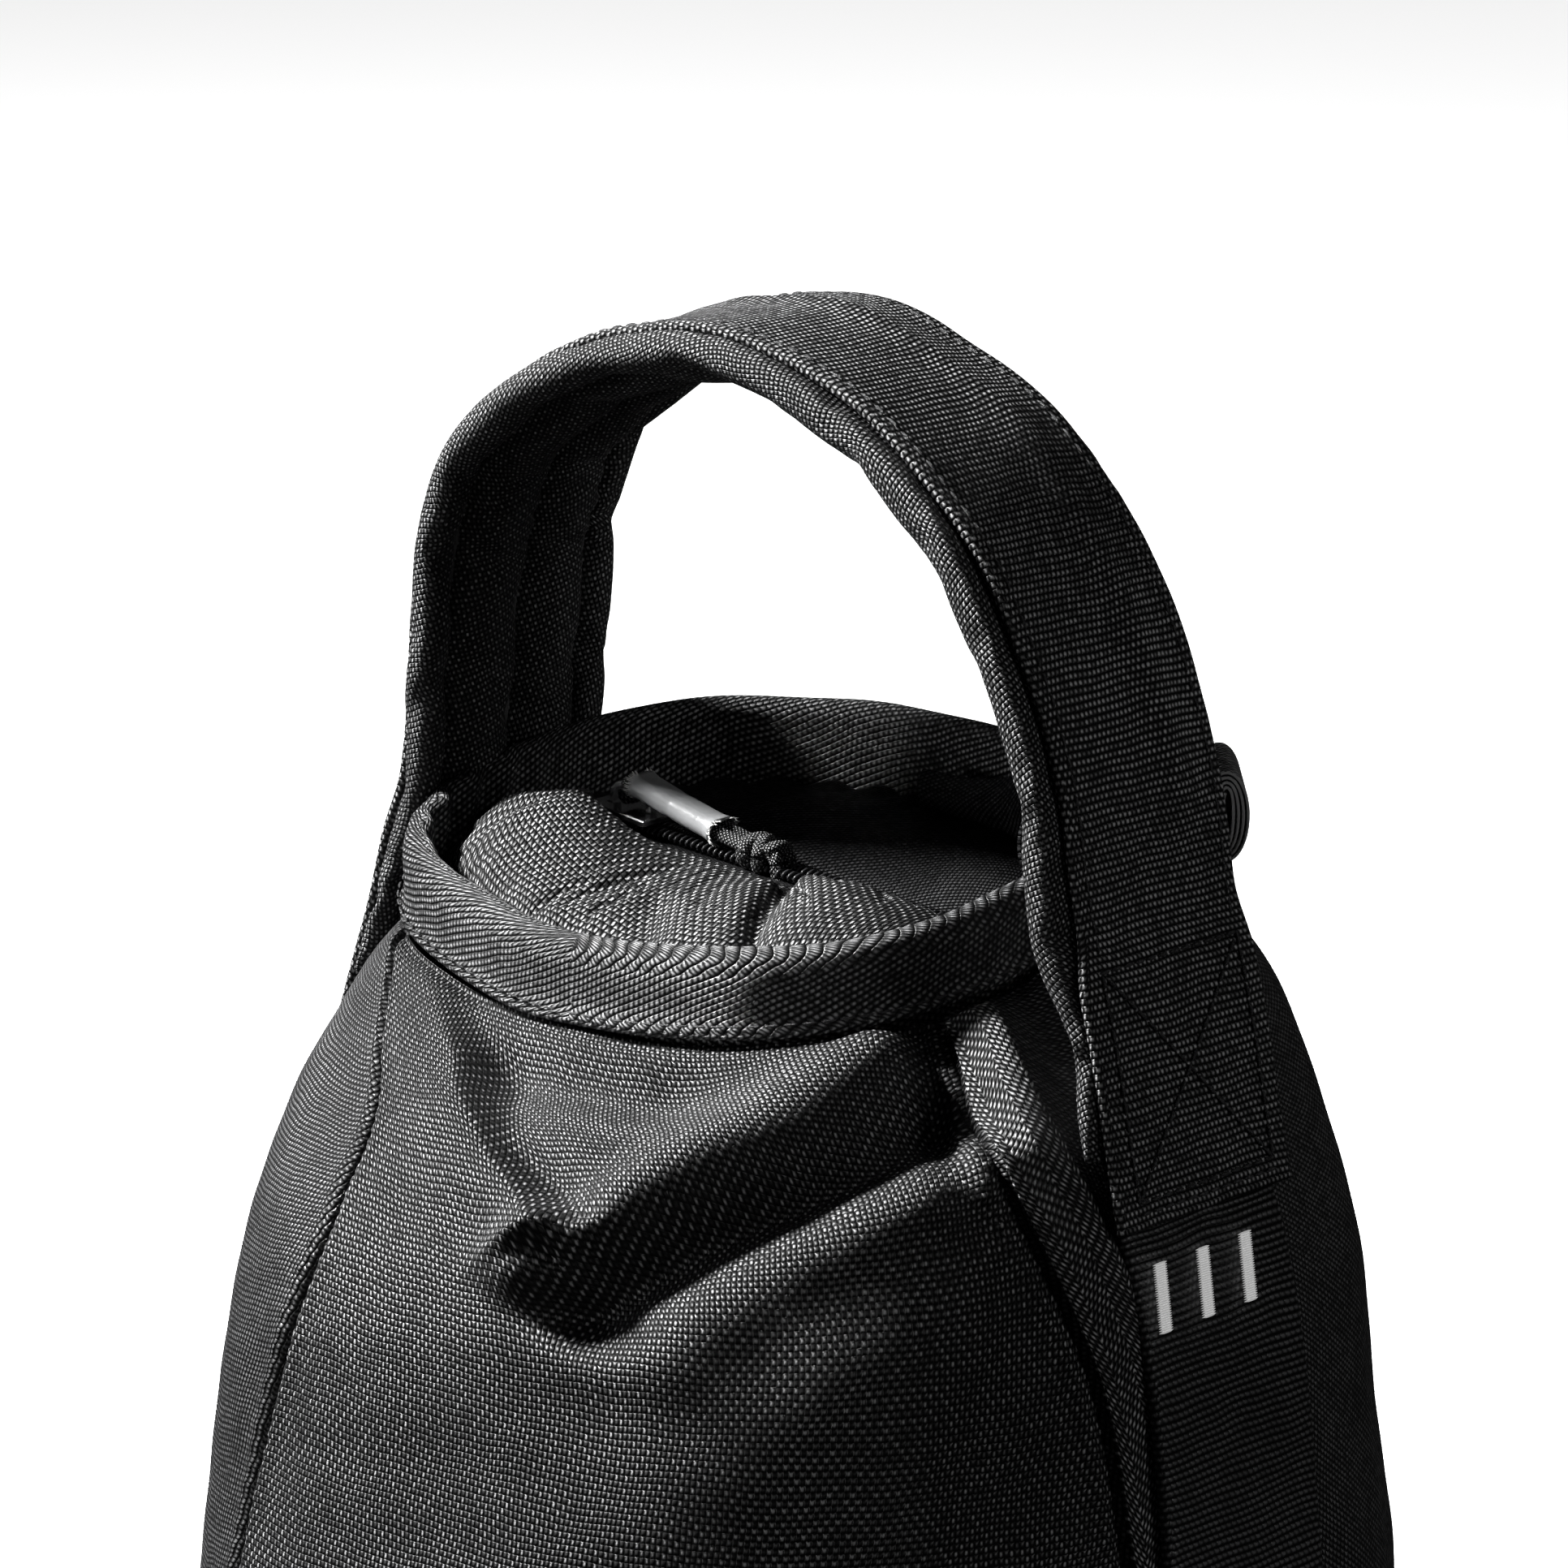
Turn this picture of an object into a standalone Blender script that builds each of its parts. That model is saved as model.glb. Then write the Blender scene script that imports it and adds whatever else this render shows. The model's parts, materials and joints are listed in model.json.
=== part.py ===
"""Photographic sandbag: a filled fabric bag with a standing collar, a zipped lid and a padded handle.

Metres, +Z up. The origin is the centre of the base, on the floor. X runs along the handle's span and
-Y is the front. Azimuths are counted from -Y towards +X.
"""

import math

import bmesh
import bpy
from mathutils import Matrix, Vector

# ---------------------------------------------------------------- driving dimensions

GAP = 0.0003                 # clearance between pieces that touch
CLOTH = 0.0014               # body cloth, two layers
SECTION_POWER = 2.5          # superellipse exponent of the body's sections
COLLAR_POWER = 2.2

BASE_HALF = 0.0785           # half width of the flat base panel
SEAM_HEIGHT = 0.1815         # collar seam above the floor, at the middle of the bag
RIM_TILT = 0.21              # the collar rises towards the back by this slope
TILT_START = 0.55            # level of the body where that slope begins

# (height, half width along X, half width along Y, centre X) from the base seam to the collar seam
BODY_SECTIONS = [
    (0.0021, 0.0795, 0.0795, 0.0),
    (0.0110, 0.0875, 0.0875, 0.0),
    (0.0350, 0.0925, 0.0925, 0.0),
    (0.0650, 0.0940, 0.0940, 0.0),
    (0.0950, 0.0912, 0.0912, 0.0),
    (0.1250, 0.0872, 0.0872, 0.0),
    (0.1500, 0.0812, 0.0800, -0.001),
    (0.1690, 0.0725, 0.0680, -0.002),
    (SEAM_HEIGHT, 0.0575, 0.0475, -0.006),
]
LEVELS = [step / 16.0 for step in range(17)]
# azimuths of the front panel's two seams, at the base and at the collar, in degrees
LEFT_SEAM = (-27.0, -14.0)
RIGHT_SEAM = (76.0, 63.0)

COLLAR_CENTRE = -0.006
COLLAR_HALF_X = 0.0570       # at the rim, outer face
COLLAR_HALF_Y = 0.0470
COLLAR_HEIGHT = 0.0140
COLLAR_FLARE = 0.0005        # the band widens by this much down to its seam
COLLAR_CLOTH = 0.0011
STIFFENER = 0.0016

WEBBING = 0.0018
WEBBING_WIDTH = 0.038
COVER_WIDTH = 0.043
COVER_THICKNESS = 0.0064
COVER_CLOTH = 0.0009
HINGE_HEIGHT = 0.197         # where the handle bends over when it is laid forward or back
HANDLE_LEAN = 0.12           # outward slope of the handle's ends below the bend
# outer face of the handle's webbing, from the right end over the top to the left end
HANDLE_LINE = [
    (0.0745, HINGE_HEIGHT),
    (0.0705, 0.2170),
    (0.0625, 0.2370),
    (0.0490, 0.2560),
    (0.0285, 0.2710),
    (0.0000, 0.2795),
    (-0.0305, 0.2740),
    (-0.0560, 0.2580),
    (-0.0660, 0.2400),
    (-0.0700, 0.2170),
    (-0.0725, HINGE_HEIGHT),
]

STRAP_THICKNESS = 0.0022
STRAP_TOP = 0.1760
STRAP_LEVELS = (0.0, 0.76)   # stretch of the body that the strap lies on
TAB_BOTTOM = 0.1490
TAB_WIDTH = 0.0420           # webbing with its sleeve folded round it
STITCH_HALF_WIDTH = 0.0150   # sewn box with its cross
STITCH_BAR = 0.0012
THREAD = 0.0005
MARK_HEIGHT = 0.1375         # middle of the mark's bars, and their places across the strap
MARK_PLACES = (-0.0140, -0.0035, 0.0070)
MARK_SIZE = (0.0034, 0.0100)
MARK_SLANT = 0.20

ZIP_SLOPE = math.radians(4.5)
ZIP_START = Vector((-0.037, 0.0, 0.1890))   # tape's upper face under the slider
ZIP_REACH = (-0.012, 0.077)                 # ends of the teeth, along the zip from the slider
TAPE_WIDTH = 0.0085
TAPE = 0.0006
TEETH_SPACING = 0.0014                      # gap between the two rows, where the slider's post runs
TEETH_WIDTH = 0.0024
TEETH_HEIGHT = 0.0016
LID_EDGE = 0.0070
LID_SEW = 0.0105
LID_DEPTH_FRONT = 0.0120
LID_DEPTH_BACK = 0.0145

SLIDER_LENGTH = 0.0140
SLIDER_WIDTH = 0.0100
SLIDER_PLATE = 0.0011
BRIDGE_WIDTH = 0.0022
BRIDGE_LENGTH = 0.0096
BRIDGE_STOCK = 0.0011
BRIDGE_BORE = 0.0038
BRIDGE_SINK = 0.0003         # the arch runs into the plate by this much
BRIDGE_ROUNDNESS = 0.6
PULL_CORD = 0.0026
SLEEVE_START = 0.0090
SLEEVE_LENGTH = 0.0185
PULL_LENGTH = 0.0390
KNOT_LENGTH = 0.0085

LINER = 0.0005
LINER_CLEARANCE = 0.0013
LINER_TOP = 0.80             # level where the liner turns in towards its neck
NECK_RADIUS = 0.0080
SAND_TOP = 0.1560

TAIL_CENTRE = Vector((0.0505, 0.0460, 0.1990))
TAIL_WIDTH = 0.0200
TAIL_WEBBING = 0.0008
TAIL_PITCH = 0.0011
TAIL_END = 0.0025            # where the free length hangs, out from the middle of the roll
TAIL_TURNS = 1.75            # ends going down on the side away from the collar

FLAP_AZIMUTHS = (110.0, 178.0)
FLAP_INSET = 0.0110
FLAP_BOTTOM = 0.1955

AROUND = 40                  # points round a full section


# ---------------------------------------------------------------- helpers


def mix(low, high, t):
    return low + (high - low) * t


def smooth_step(t):
    t = min(max(t, 0.0), 1.0)
    return t * t * (3.0 - 2.0 * t)


def spline(stops, t):
    """The point at t, 0 to 1, of a smooth curve through the stops."""
    place = min(max(t, 0.0), 1.0) * (len(stops) - 1)
    i = min(int(place), len(stops) - 2)
    u = place - i
    before = Vector(stops[max(i - 1, 0)])
    start = Vector(stops[i])
    end = Vector(stops[i + 1])
    after = Vector(stops[min(i + 2, len(stops) - 1)])
    bend_in = (end - before) * 0.5
    bend_out = (after - start) * 0.5
    rise = end - start
    return (
        start
        + bend_in * u
        + (rise * 3.0 - bend_in * 2.0 - bend_out) * u**2
        + (bend_in + bend_out - rise * 2.0) * u**3
    )


def shares(count):
    """Evenly spaced values from 0 to 1."""
    return [i / (count - 1) for i in range(count)]


def superellipse(azimuth, half_x, half_y, power):
    along = math.sin(azimuth)
    across = -math.cos(azimuth)
    reach = (abs(along / half_x) ** power + abs(across / half_y) ** power) ** (-1.0 / power)
    return Vector((along * reach, across * reach))


def flat_oval(turn, half_x, half_y, power):
    """A superellipse for long flat shapes, whose points crowd towards its narrow ends."""
    x = math.copysign(abs(math.cos(turn)) ** (2.0 / power), math.cos(turn))
    y = math.copysign(abs(math.sin(turn)) ** (2.0 / power), math.sin(turn))
    return Vector((half_x * x, half_y * y))


def finish(name, mesh, material, parent=None):
    """Makes a closed bmesh into a named object whose faces point out."""
    bmesh.ops.recalc_face_normals(mesh, faces=mesh.faces)
    data = bpy.data.meshes.new(name)
    mesh.to_mesh(data)
    mesh.free()
    data.shade_smooth()
    data.set_sharp_from_angle(angle=math.radians(35.0))
    data.materials.append(material)
    piece = bpy.data.objects.new(name, data)
    bpy.context.scene.collection.objects.link(piece)
    piece.parent = parent
    return piece


def loft_mesh(rings, closed=False):
    """Joins rings of equally many points, an even number. Open ends are capped across the ring."""
    mesh = bmesh.new()
    rows = [[mesh.verts.new(point) for point in ring] for ring in rings]
    count = len(rows[0])
    pairs = list(zip(rows, rows[1:]))
    if closed:
        pairs.append((rows[-1], rows[0]))
    for low, high in pairs:
        for k in range(count):
            n = (k + 1) % count
            mesh.faces.new((low[k], low[n], high[n], high[k]))
    if not closed:
        for row in (rows[0], rows[-1]):
            for k in range(count // 2 - 1):
                mesh.faces.new((row[k], row[k + 1], row[count - 2 - k], row[count - 1 - k]))
    return mesh


def loft(name, rings, material, parent=None, closed=False):
    return finish(name, loft_mesh(rings, closed), material, parent)


def slab(name, outer, inner, material, parent=None):
    """A sheet with thickness, from the rows of its two faces."""
    rings = [list(top) + list(reversed(bottom)) for top, bottom in zip(outer, inner)]
    return loft(name, rings, material, parent)


def paint(name, colour, roughness, metallic=0.0):
    material = bpy.data.materials.new(name)
    material.use_nodes = True
    shader = material.node_tree.nodes["Principled BSDF"]
    shader.inputs["Base Color"].default_value = (*colour, 1.0)
    shader.inputs["Roughness"].default_value = roughness
    shader.inputs["Metallic"].default_value = metallic
    return material


def axis_empty(name, location, parent=None, tilt=0.0):
    empty = bpy.data.objects.new(name, None)
    empty.location = location
    empty.rotation_euler = (0.0, tilt, 0.0)
    empty.parent = parent
    bpy.context.scene.collection.objects.link(empty)
    return empty


# ---------------------------------------------------------------- surfaces of the bag


def body_point(azimuth, level):
    """Outer surface of the filled bag; level is 0 at the base seam and 1 at the collar seam."""
    height, half_x, half_y, centre = spline(BODY_SECTIONS, level)
    power = mix(SECTION_POWER, COLLAR_POWER, level)
    flat = superellipse(azimuth, half_x, half_y, power)
    lift = RIM_TILT * flat.y * smooth_step((level - TILT_START) / (1.0 - TILT_START))
    return Vector((flat.x + centre, flat.y, height + lift))


def body_surface(azimuth, level, offset=0.0):
    """The surface moved out along its own normal."""
    step = 0.002
    low = max(level - step, 0.0)
    high = min(level + step, 1.0)
    around = body_point(azimuth + step, level) - body_point(azimuth - step, level)
    upward = body_point(azimuth, high) - body_point(azimuth, low)
    return body_point(azimuth, level) + around.cross(upward).normalized() * offset


def collar_point(azimuth, grow, height):
    """A point of the collar: grow is outwards from its rim's outer face, height is above its seam."""
    flat = superellipse(azimuth, COLLAR_HALF_X + grow, COLLAR_HALF_Y + grow, COLLAR_POWER)
    return Vector((flat.x + COLLAR_CENTRE, flat.y, SEAM_HEIGHT + height + RIM_TILT * flat.y))


def seam_azimuth(seam, level):
    return math.radians(mix(seam[0], seam[1], level))


def panel(name, start, end, columns, material):
    """A body panel between two seams, each given as a function of the level."""
    sew = 0.0020             # angle left free beside each seam
    outer = []
    inner = []
    for level in LEVELS:
        first = start(level) + sew
        last = end(level) - sew
        azimuths = [mix(first, last, share) for share in shares(columns)]
        outer.append([body_surface(azimuth, level) for azimuth in azimuths])
        inner.append([body_surface(azimuth, level, -CLOTH) for azimuth in azimuths])
    return slab(name, outer, inner, material)


def make_body(weave, twill):
    def left(level):
        return seam_azimuth(LEFT_SEAM, level)

    def right(level):
        return seam_azimuth(RIGHT_SEAM, level)

    panel("front_panel", left, right, 12, weave)
    panel("right_gusset", right, lambda level: left(level) + math.pi, 12, twill)
    panel("back_panel", lambda level: left(level) + math.pi, lambda level: right(level) + math.pi, 12, weave)
    panel("left_gusset", lambda level: right(level) - math.pi, left, 12, twill)

    rings = []
    for height in (0.0, BODY_SECTIONS[0][0] - CLOTH * 0.5 - GAP):
        ring = []
        for k in range(AROUND):
            flat = superellipse(math.tau * k / AROUND, BASE_HALF, BASE_HALF, SECTION_POWER)
            ring.append((flat.x, flat.y, height))
        rings.append(ring)
    loft("base_panel", rings, weave)


def make_filling(liner, sand, cord):
    """The inner bag with its open neck, the cord round the neck, and the sand."""
    wall = -(CLOTH + LINER_CLEARANCE)
    levels = [level for level in LEVELS[1:] if level < LINER_TOP]
    neck = [(0.046, 0.1630), (0.026, 0.1665), (0.0125, 0.1690), (NECK_RADIUS, 0.1715), (NECK_RADIUS, 0.1745)]
    azimuths = [math.tau * k / AROUND for k in range(AROUND)]

    def skin(depth):
        rings = [[body_surface(azimuth, level, wall - depth) for azimuth in azimuths] for level in levels]
        for radius, height in neck:
            ring = []
            for azimuth in azimuths:
                x = math.sin(azimuth) * (radius - depth)
                y = -math.cos(azimuth) * (radius - depth)
                ring.append((x, y, height - depth))
            rings.append(ring)
        return rings

    outer = skin(0.0)
    inner = skin(LINER)
    inner[-1] = [(x, y, neck[-1][1]) for x, y, _ in inner[-1]]
    mesh = bmesh.new()
    skins = [[[mesh.verts.new(point) for point in ring] for ring in rings] for rings in (outer, inner)]
    for rows in skins:
        for low, high in zip(rows, rows[1:]):
            for k in range(AROUND):
                n = (k + 1) % AROUND
                mesh.faces.new((low[k], low[n], high[n], high[k]))
        mesh.faces.new(rows[0])
    for k in range(AROUND):
        n = (k + 1) % AROUND
        mesh.faces.new((skins[0][-1][k], skins[0][-1][n], skins[1][-1][n], skins[1][-1][k]))
    finish("filler_bag", mesh, liner)

    depth = wall - LINER - GAP
    rings = [[body_surface(azimuth, level, depth) for azimuth in azimuths] for level in levels[:-1]]
    low = min(point.z for point in rings[0]) + LINER + GAP
    rings[0] = [Vector((point.x, point.y, low)) for point in rings[0]]
    for share, height in ((0.62, SAND_TOP - 0.002), (0.30, SAND_TOP)):
        ring = []
        for azimuth in azimuths:
            point = body_surface(azimuth, levels[-2], depth)
            ring.append((point.x * share, point.y * share, height))
        rings.append(ring)
    loft("sand_fill", rings, sand)

    radius = NECK_RADIUS + 0.0012 + GAP
    tube = 0.0010
    rings = []
    for k in range(20):
        azimuth = math.tau * k / 20
        out = Vector((math.sin(azimuth), -math.cos(azimuth), 0.0))
        centre = out * radius + Vector((0.0, 0.0, 0.1731))
        ring = []
        for n in range(8):
            turn = math.tau * n / 8
            ring.append(centre + out * (tube * math.cos(turn)) + Vector((0, 0, tube * math.sin(turn))))
        rings.append(ring)
    loft("filler_tie", rings, cord, closed=True)


# ---------------------------------------------------------------- collar and lid


def collar_ring(name, profile, material):
    rings = []
    for k in range(AROUND):
        azimuth = math.tau * k / AROUND
        rings.append([collar_point(azimuth, grow, height) for grow, height in profile])
    return loft(name, rings, material, closed=True)


def make_collar(twill, board):
    """Cloth folded over the rim like an upturned U, with a stiff strip inside the fold."""
    wide = 2.0 * COLLAR_CLOTH + STIFFENER + 2.0 * GAP
    radius = wide / 2.0
    turns = [math.radians(angle) for angle in (0, 45, 90, 135, 180)]

    def fold(reach, bottom):
        """The fold's line, reach from the middle of the wall, from outside over the top to inside."""
        line = [(COLLAR_FLARE - radius + reach, bottom)]
        top = COLLAR_HEIGHT - radius
        line += [(-radius + reach * math.cos(turn), top + reach * math.sin(turn)) for turn in turns]
        line.append((COLLAR_FLARE - radius - reach, bottom))
        return line

    outside = fold(radius, GAP)
    inside = fold(radius - COLLAR_CLOTH, GAP)
    collar_ring("collar_band", outside + inside[::-1], twill)

    half = STIFFENER / 2.0
    low = 0.0012
    top = COLLAR_HEIGHT - radius
    middle = -radius
    lean = COLLAR_FLARE * (1.0 - low / top)
    outside = [(middle + lean + half, low), (middle + half, top)]
    inside = [(middle - half, top), (middle + lean - half, low)]
    collar_ring("collar_stiffener", outside + inside, board)


def zip_point(along, across, above=0.0):
    """A point beside the zip: along it from the slider, across it, and above the tape."""
    x = ZIP_START.x + along * math.cos(ZIP_SLOPE) + above * math.sin(ZIP_SLOPE)
    z = ZIP_START.z - along * math.sin(ZIP_SLOPE) + above * math.cos(ZIP_SLOPE)
    return Vector((x, across, z))


def zip_bar(name, along, across, above, material):
    """A straight bar beside the zip, from three ranges."""
    rings = []
    for a in along:
        ring = [zip_point(a, across[0], above[0]), zip_point(a, across[1], above[0])]
        ring += [zip_point(a, across[1], above[1]), zip_point(a, across[0], above[1])]
        rings.append(ring)
    return loft(name, rings, material)


def make_zip(tape, nylon, metal):
    start, end = ZIP_REACH
    for side, label in ((-1, "front"), (1, "back")):
        across = (side * 0.0010, side * (0.0010 + TAPE_WIDTH))
        zip_bar(f"zipper_tape_{label}", (start - 0.004, end + 0.003), across, (-TAPE, 0.0), tape)
        teeth = (side * TEETH_SPACING / 2.0, side * (TEETH_SPACING / 2.0 + TEETH_WIDTH))
        zip_bar(f"zipper_coil_{label}", (start, end), teeth, (GAP, GAP + TEETH_HEIGHT), nylon)
    stop = (-0.0034, 0.0034)
    zip_bar("zipper_stop_left", (start - 0.0028, start - GAP), stop, (GAP, 0.0022), metal)
    zip_bar("zipper_stop_right", (end + GAP, end + 0.0022), stop, (GAP, 0.0022), metal)


def make_lid(weave):
    """Two halves, each from its edge on the zipper tape to the collar's inner face."""
    thick = 0.0012
    wall = -(2.0 * COLLAR_CLOTH + STIFFENER + 3.0 * GAP)
    start, end = ZIP_REACH
    for side, label, depth in ((-1, "front", LID_DEPTH_FRONT), (1, "back", LID_DEPTH_BACK)):
        outer = []
        inner = []
        for share in shares(13):
            turn = math.radians(mix(-80.0, 80.0, share))
            azimuth = turn if side < 0 else math.pi - turn
            along = mix(start - 0.003, end + 0.002, share)
            edge = zip_point(along, side * LID_EDGE, 2.0 * GAP)
            sewn = zip_point(along, side * LID_SEW, 2.0 * GAP)
            rim = collar_point(azimuth, wall, COLLAR_HEIGHT - depth)
            if abs(rim.y) < abs(sewn.y) + 0.006:
                rim.z = max(rim.z, sewn.z)
                sewn = edge.lerp(rim, 0.5)
            row = [edge, sewn] + [sewn.lerp(rim, t) for t in (0.3, 0.65, 1.0)]
            crown = (0.0, 0.0, 0.0016, 0.0016, 0.0)
            inner.append([point + Vector((0, 0, rise)) for point, rise in zip(row, crown)])
            outer.append([point + Vector((0, 0, thick)) for point in inner[-1]])
        slab(f"lid_{label}", outer, inner, weave)


def make_flap(cloth):
    """Facing flap that stands inside the collar's back right wall and rises to the right."""
    outer = []
    inner = []
    for share in shares(9):
        azimuth = math.radians(mix(*FLAP_AZIMUTHS, share))
        top = mix(0.2065, 0.1985, smooth_step(share * 1.2))
        columns = []
        for inset in (FLAP_INSET, FLAP_INSET + 0.0012):
            flat = collar_point(azimuth, -inset, 0.0)
            columns.append([Vector((flat.x, flat.y, mix(FLAP_BOTTOM, top, t))) for t in (0.0, 0.5, 1.0)])
        outer.append(columns[0])
        inner.append(columns[1])
    slab("inner_flap", outer, inner, cloth)


# ---------------------------------------------------------------- side straps


def handle_end(side):
    """X of the webbing's outer face where the handle bends."""
    return HANDLE_LINE[0][0] if side > 0 else HANDLE_LINE[-1][0]


def strap_points(side, offset):
    """Line of a side strap at y = 0, from its top, clear of the body, down to the base seam."""
    azimuth = side * math.pi / 2.0
    top_x = handle_end(side) + side * (HANDLE_LEAN * (HINGE_HEIGHT - STRAP_TOP) - WEBBING + offset)
    stops = [Vector((top_x, 0.0, STRAP_TOP))]
    for level in reversed([level for level in LEVELS if STRAP_LEVELS[0] <= level <= STRAP_LEVELS[1]]):
        point = body_surface(azimuth, level, GAP * 2.0 + offset)
        stops.append(Vector((point.x, 0.0, point.z)))
    return stops


def strip_rows(points, width):
    half = width / 2.0
    return [[point + Vector((0.0, y, 0.0)) for y in (-half, 0.0, half)] for point in points]


def tab_frame(side):
    """Lower and upper end, at y = 0, of the plane on the strap's outer face where the tab is sewn."""
    line = strap_points(side, STRAP_THICKNESS)
    high, low = line[0], line[1]
    share = (high.z - TAB_BOTTOM) / (high.z - low.z)
    low = high.lerp(low, share)
    up = (high - low).normalized()
    out = Vector((side * up.z, 0.0, -side * up.x))
    return low + out * GAP, high + out * GAP, out


def make_straps(webbing, thread):
    for side, label in ((-1, "left"), (1, "right")):
        outer = strip_rows(strap_points(side, STRAP_THICKNESS), WEBBING_WIDTH)
        inner = strip_rows(strap_points(side, 0.0), WEBBING_WIDTH)
        slab(f"{label}_strap", outer, inner, webbing)

        low, high, out = tab_frame(side)
        ends = (low, high)
        outer = strip_rows([end + out * WEBBING for end in ends], TAB_WIDTH)
        slab(f"{label}_tab", outer, strip_rows(ends, TAB_WIDTH), webbing)
        sewn_box(f"{label}_box_stitch", low, high, out, thread)


def sewn_box(name, low, high, out, thread):
    """A rectangle of thread with its diagonals, as one plate with four triangular holes."""
    margin = 0.0022
    up = (high - low).normalized()
    half_height = (high - low).length / 2.0 - margin
    middle = (low + high) / 2.0 + out * (WEBBING + GAP)
    half_width = STITCH_HALF_WIDTH
    diagonal = STITCH_BAR * 0.75
    corners = [(-1, -1), (1, -1), (1, 1), (-1, 1)]
    mesh = bmesh.new()

    def layer(lift):
        def vertex(y, s):
            return mesh.verts.new(middle + Vector((0.0, y, 0.0)) + up * s + out * lift)

        rim = [vertex(y * half_width, s * half_height) for y, s in corners]
        holes = []
        for k in range(4):
            y0, s0 = corners[k]
            y1, s1 = corners[(k + 1) % 4]
            lengthwise = s0 == s1
            inset_y = half_width - STITCH_BAR
            inset_s = half_height - STITCH_BAR
            if lengthwise:
                trim = diagonal * 1.9
                first = vertex(y0 * (inset_y - trim), s0 * inset_s)
                last = vertex(y1 * (inset_y - trim), s1 * inset_s)
                tip = vertex(0.0, s0 * diagonal * 1.4)
            else:
                trim = diagonal * 1.5
                first = vertex(y0 * inset_y, s0 * (inset_s - trim))
                last = vertex(y1 * inset_y, s1 * (inset_s - trim))
                tip = vertex(y0 * diagonal * 1.6, 0.0)
            holes.append((first, last, tip))
        return rim, holes

    bottom = layer(0.0)
    top = layer(THREAD)
    for rim, holes in (bottom, top):
        for k in range(4):
            first, last, tip = holes[k]
            before = holes[k - 1]
            mesh.faces.new((rim[k], rim[(k + 1) % 4], last, first))
            mesh.faces.new((rim[k], first, tip, before[2], before[1]))
        mesh.faces.new([hole[2] for hole in holes])
    for k in range(4):
        n = (k + 1) % 4
        mesh.faces.new((bottom[0][k], bottom[0][n], top[0][n], top[0][k]))
        for m in range(3):
            q = (m + 1) % 3
            mesh.faces.new((bottom[1][k][m], bottom[1][k][q], top[1][k][q], top[1][k][m]))
    finish(name, mesh, thread)


def make_mark(thread):
    """Three slanted embroidered bars, side by side on the right strap."""
    stops = strap_points(1, STRAP_THICKNESS)
    line = [spline(stops, share) for share in shares(120)]
    half_width, half_height = MARK_SIZE[0] / 2.0, MARK_SIZE[1] / 2.0
    i = min(range(1, len(line) - 1), key=lambda k: abs(line[k].z - MARK_HEIGHT))
    up = (line[i - 1] - line[i + 1]).normalized()
    out = Vector((up.z, 0.0, -up.x))
    for number, place in enumerate(MARK_PLACES, start=1):
        rings = []
        for lift in (GAP, GAP + THREAD):
            ring = []
            for y, s in ((-1, -1), (1, -1), (1, 1), (-1, 1)):
                across = place + y * half_width + s * half_height * MARK_SLANT
                ring.append(line[i] + Vector((0.0, across, 0.0)) + up * (s * half_height) + out * lift)
            rings.append(ring)
        loft(f"mark_bar_{number}", rings, thread)


def make_tail(webbing):
    """Narrow webbing behind the handle's right leg, rolled up into an oval of a few turns."""
    across = Vector((-math.sin(math.radians(42.0)), math.cos(math.radians(42.0)), 0.0))
    away = Vector((across.y, -across.x, 0.0))
    up = Vector((0.0, 0.0, 1.0))

    def spiral(turn, grow):
        wide = 0.0006 + TAIL_PITCH * turn / math.tau + grow
        tall = 0.0042 + TAIL_PITCH * turn / math.tau + grow
        flat = flat_oval(turn - math.pi / 2.0, wide, tall, 2.5)
        return TAIL_CENTRE - away * flat.x + up * flat.y

    steps = 16
    turns = [math.tau * k / steps for k in range(int(steps * TAIL_TURNS) + 1)]
    lines = [[spiral(turn, grow) for turn in turns] for grow in (0.0, TAIL_WEBBING)]
    for line, reach in zip(lines, (0.0, TAIL_WEBBING)):
        for drop in (0.0060, 0.0110, 0.0160):
            line.append(TAIL_CENTRE + away * (TAIL_END + reach) - up * drop)
    half = across * TAIL_WIDTH / 2.0
    outer = [[point - half, point + half] for point in lines[1]]
    inner = [[point - half, point + half] for point in lines[0]]
    slab("tail_strap", outer, inner, webbing)


# ---------------------------------------------------------------- handle


def handle_stations(count, end_radius=0.0):
    """Points of the handle's outer line with their outward normals, and how far each lies below the bend."""
    stations = []
    for share in shares(count):
        x, z = spline(HANDLE_LINE, share)
        x0, z0 = spline(HANDLE_LINE, share - 0.004)
        x1, z1 = spline(HANDLE_LINE, share + 0.004)
        run = Vector((x1 - x0, 0.0, z1 - z0)).normalized()
        if share in (0.0, 1.0):
            run = Vector((0.0, 0.0, 1.0 if share == 0.0 else -1.0))
        normal = Vector((run.z, 0.0, -run.x))
        stations.append((Vector((x, 0.0, z - HINGE_HEIGHT)), normal, 0.0))
    if end_radius:
        drops = [end_radius * math.sin(math.radians(angle)) for angle in (20, 40, 55, 70)]
        for drop in drops:
            right = Vector((handle_end(1) + HANDLE_LEAN * drop, 0.0, -drop))
            left = Vector((handle_end(-1) - HANDLE_LEAN * drop, 0.0, -drop))
            stations.insert(0, (right, Vector((1, 0, 0)), drop))
            stations.append((left, Vector((-1, 0, 0)), drop))
    return stations


def handle_strip(name, stations, near, far, across, material, parent, end_radius=0.0):
    """A strip along the handle between two depths under its outer line."""
    outer = []
    inner = []
    for point, normal, drop in stations:
        low, high = across
        if end_radius:
            half = math.sqrt(end_radius**2 - drop**2)
            low, high = max(low, -half), min(high, half)
        ys = (low, (low + high) / 2.0, high)
        outer.append([point - normal * near + Vector((0, y, 0)) for y in ys])
        inner.append([point - normal * far + Vector((0, y, 0)) for y in ys])
    return slab(name, outer, inner, material, parent)


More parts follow.
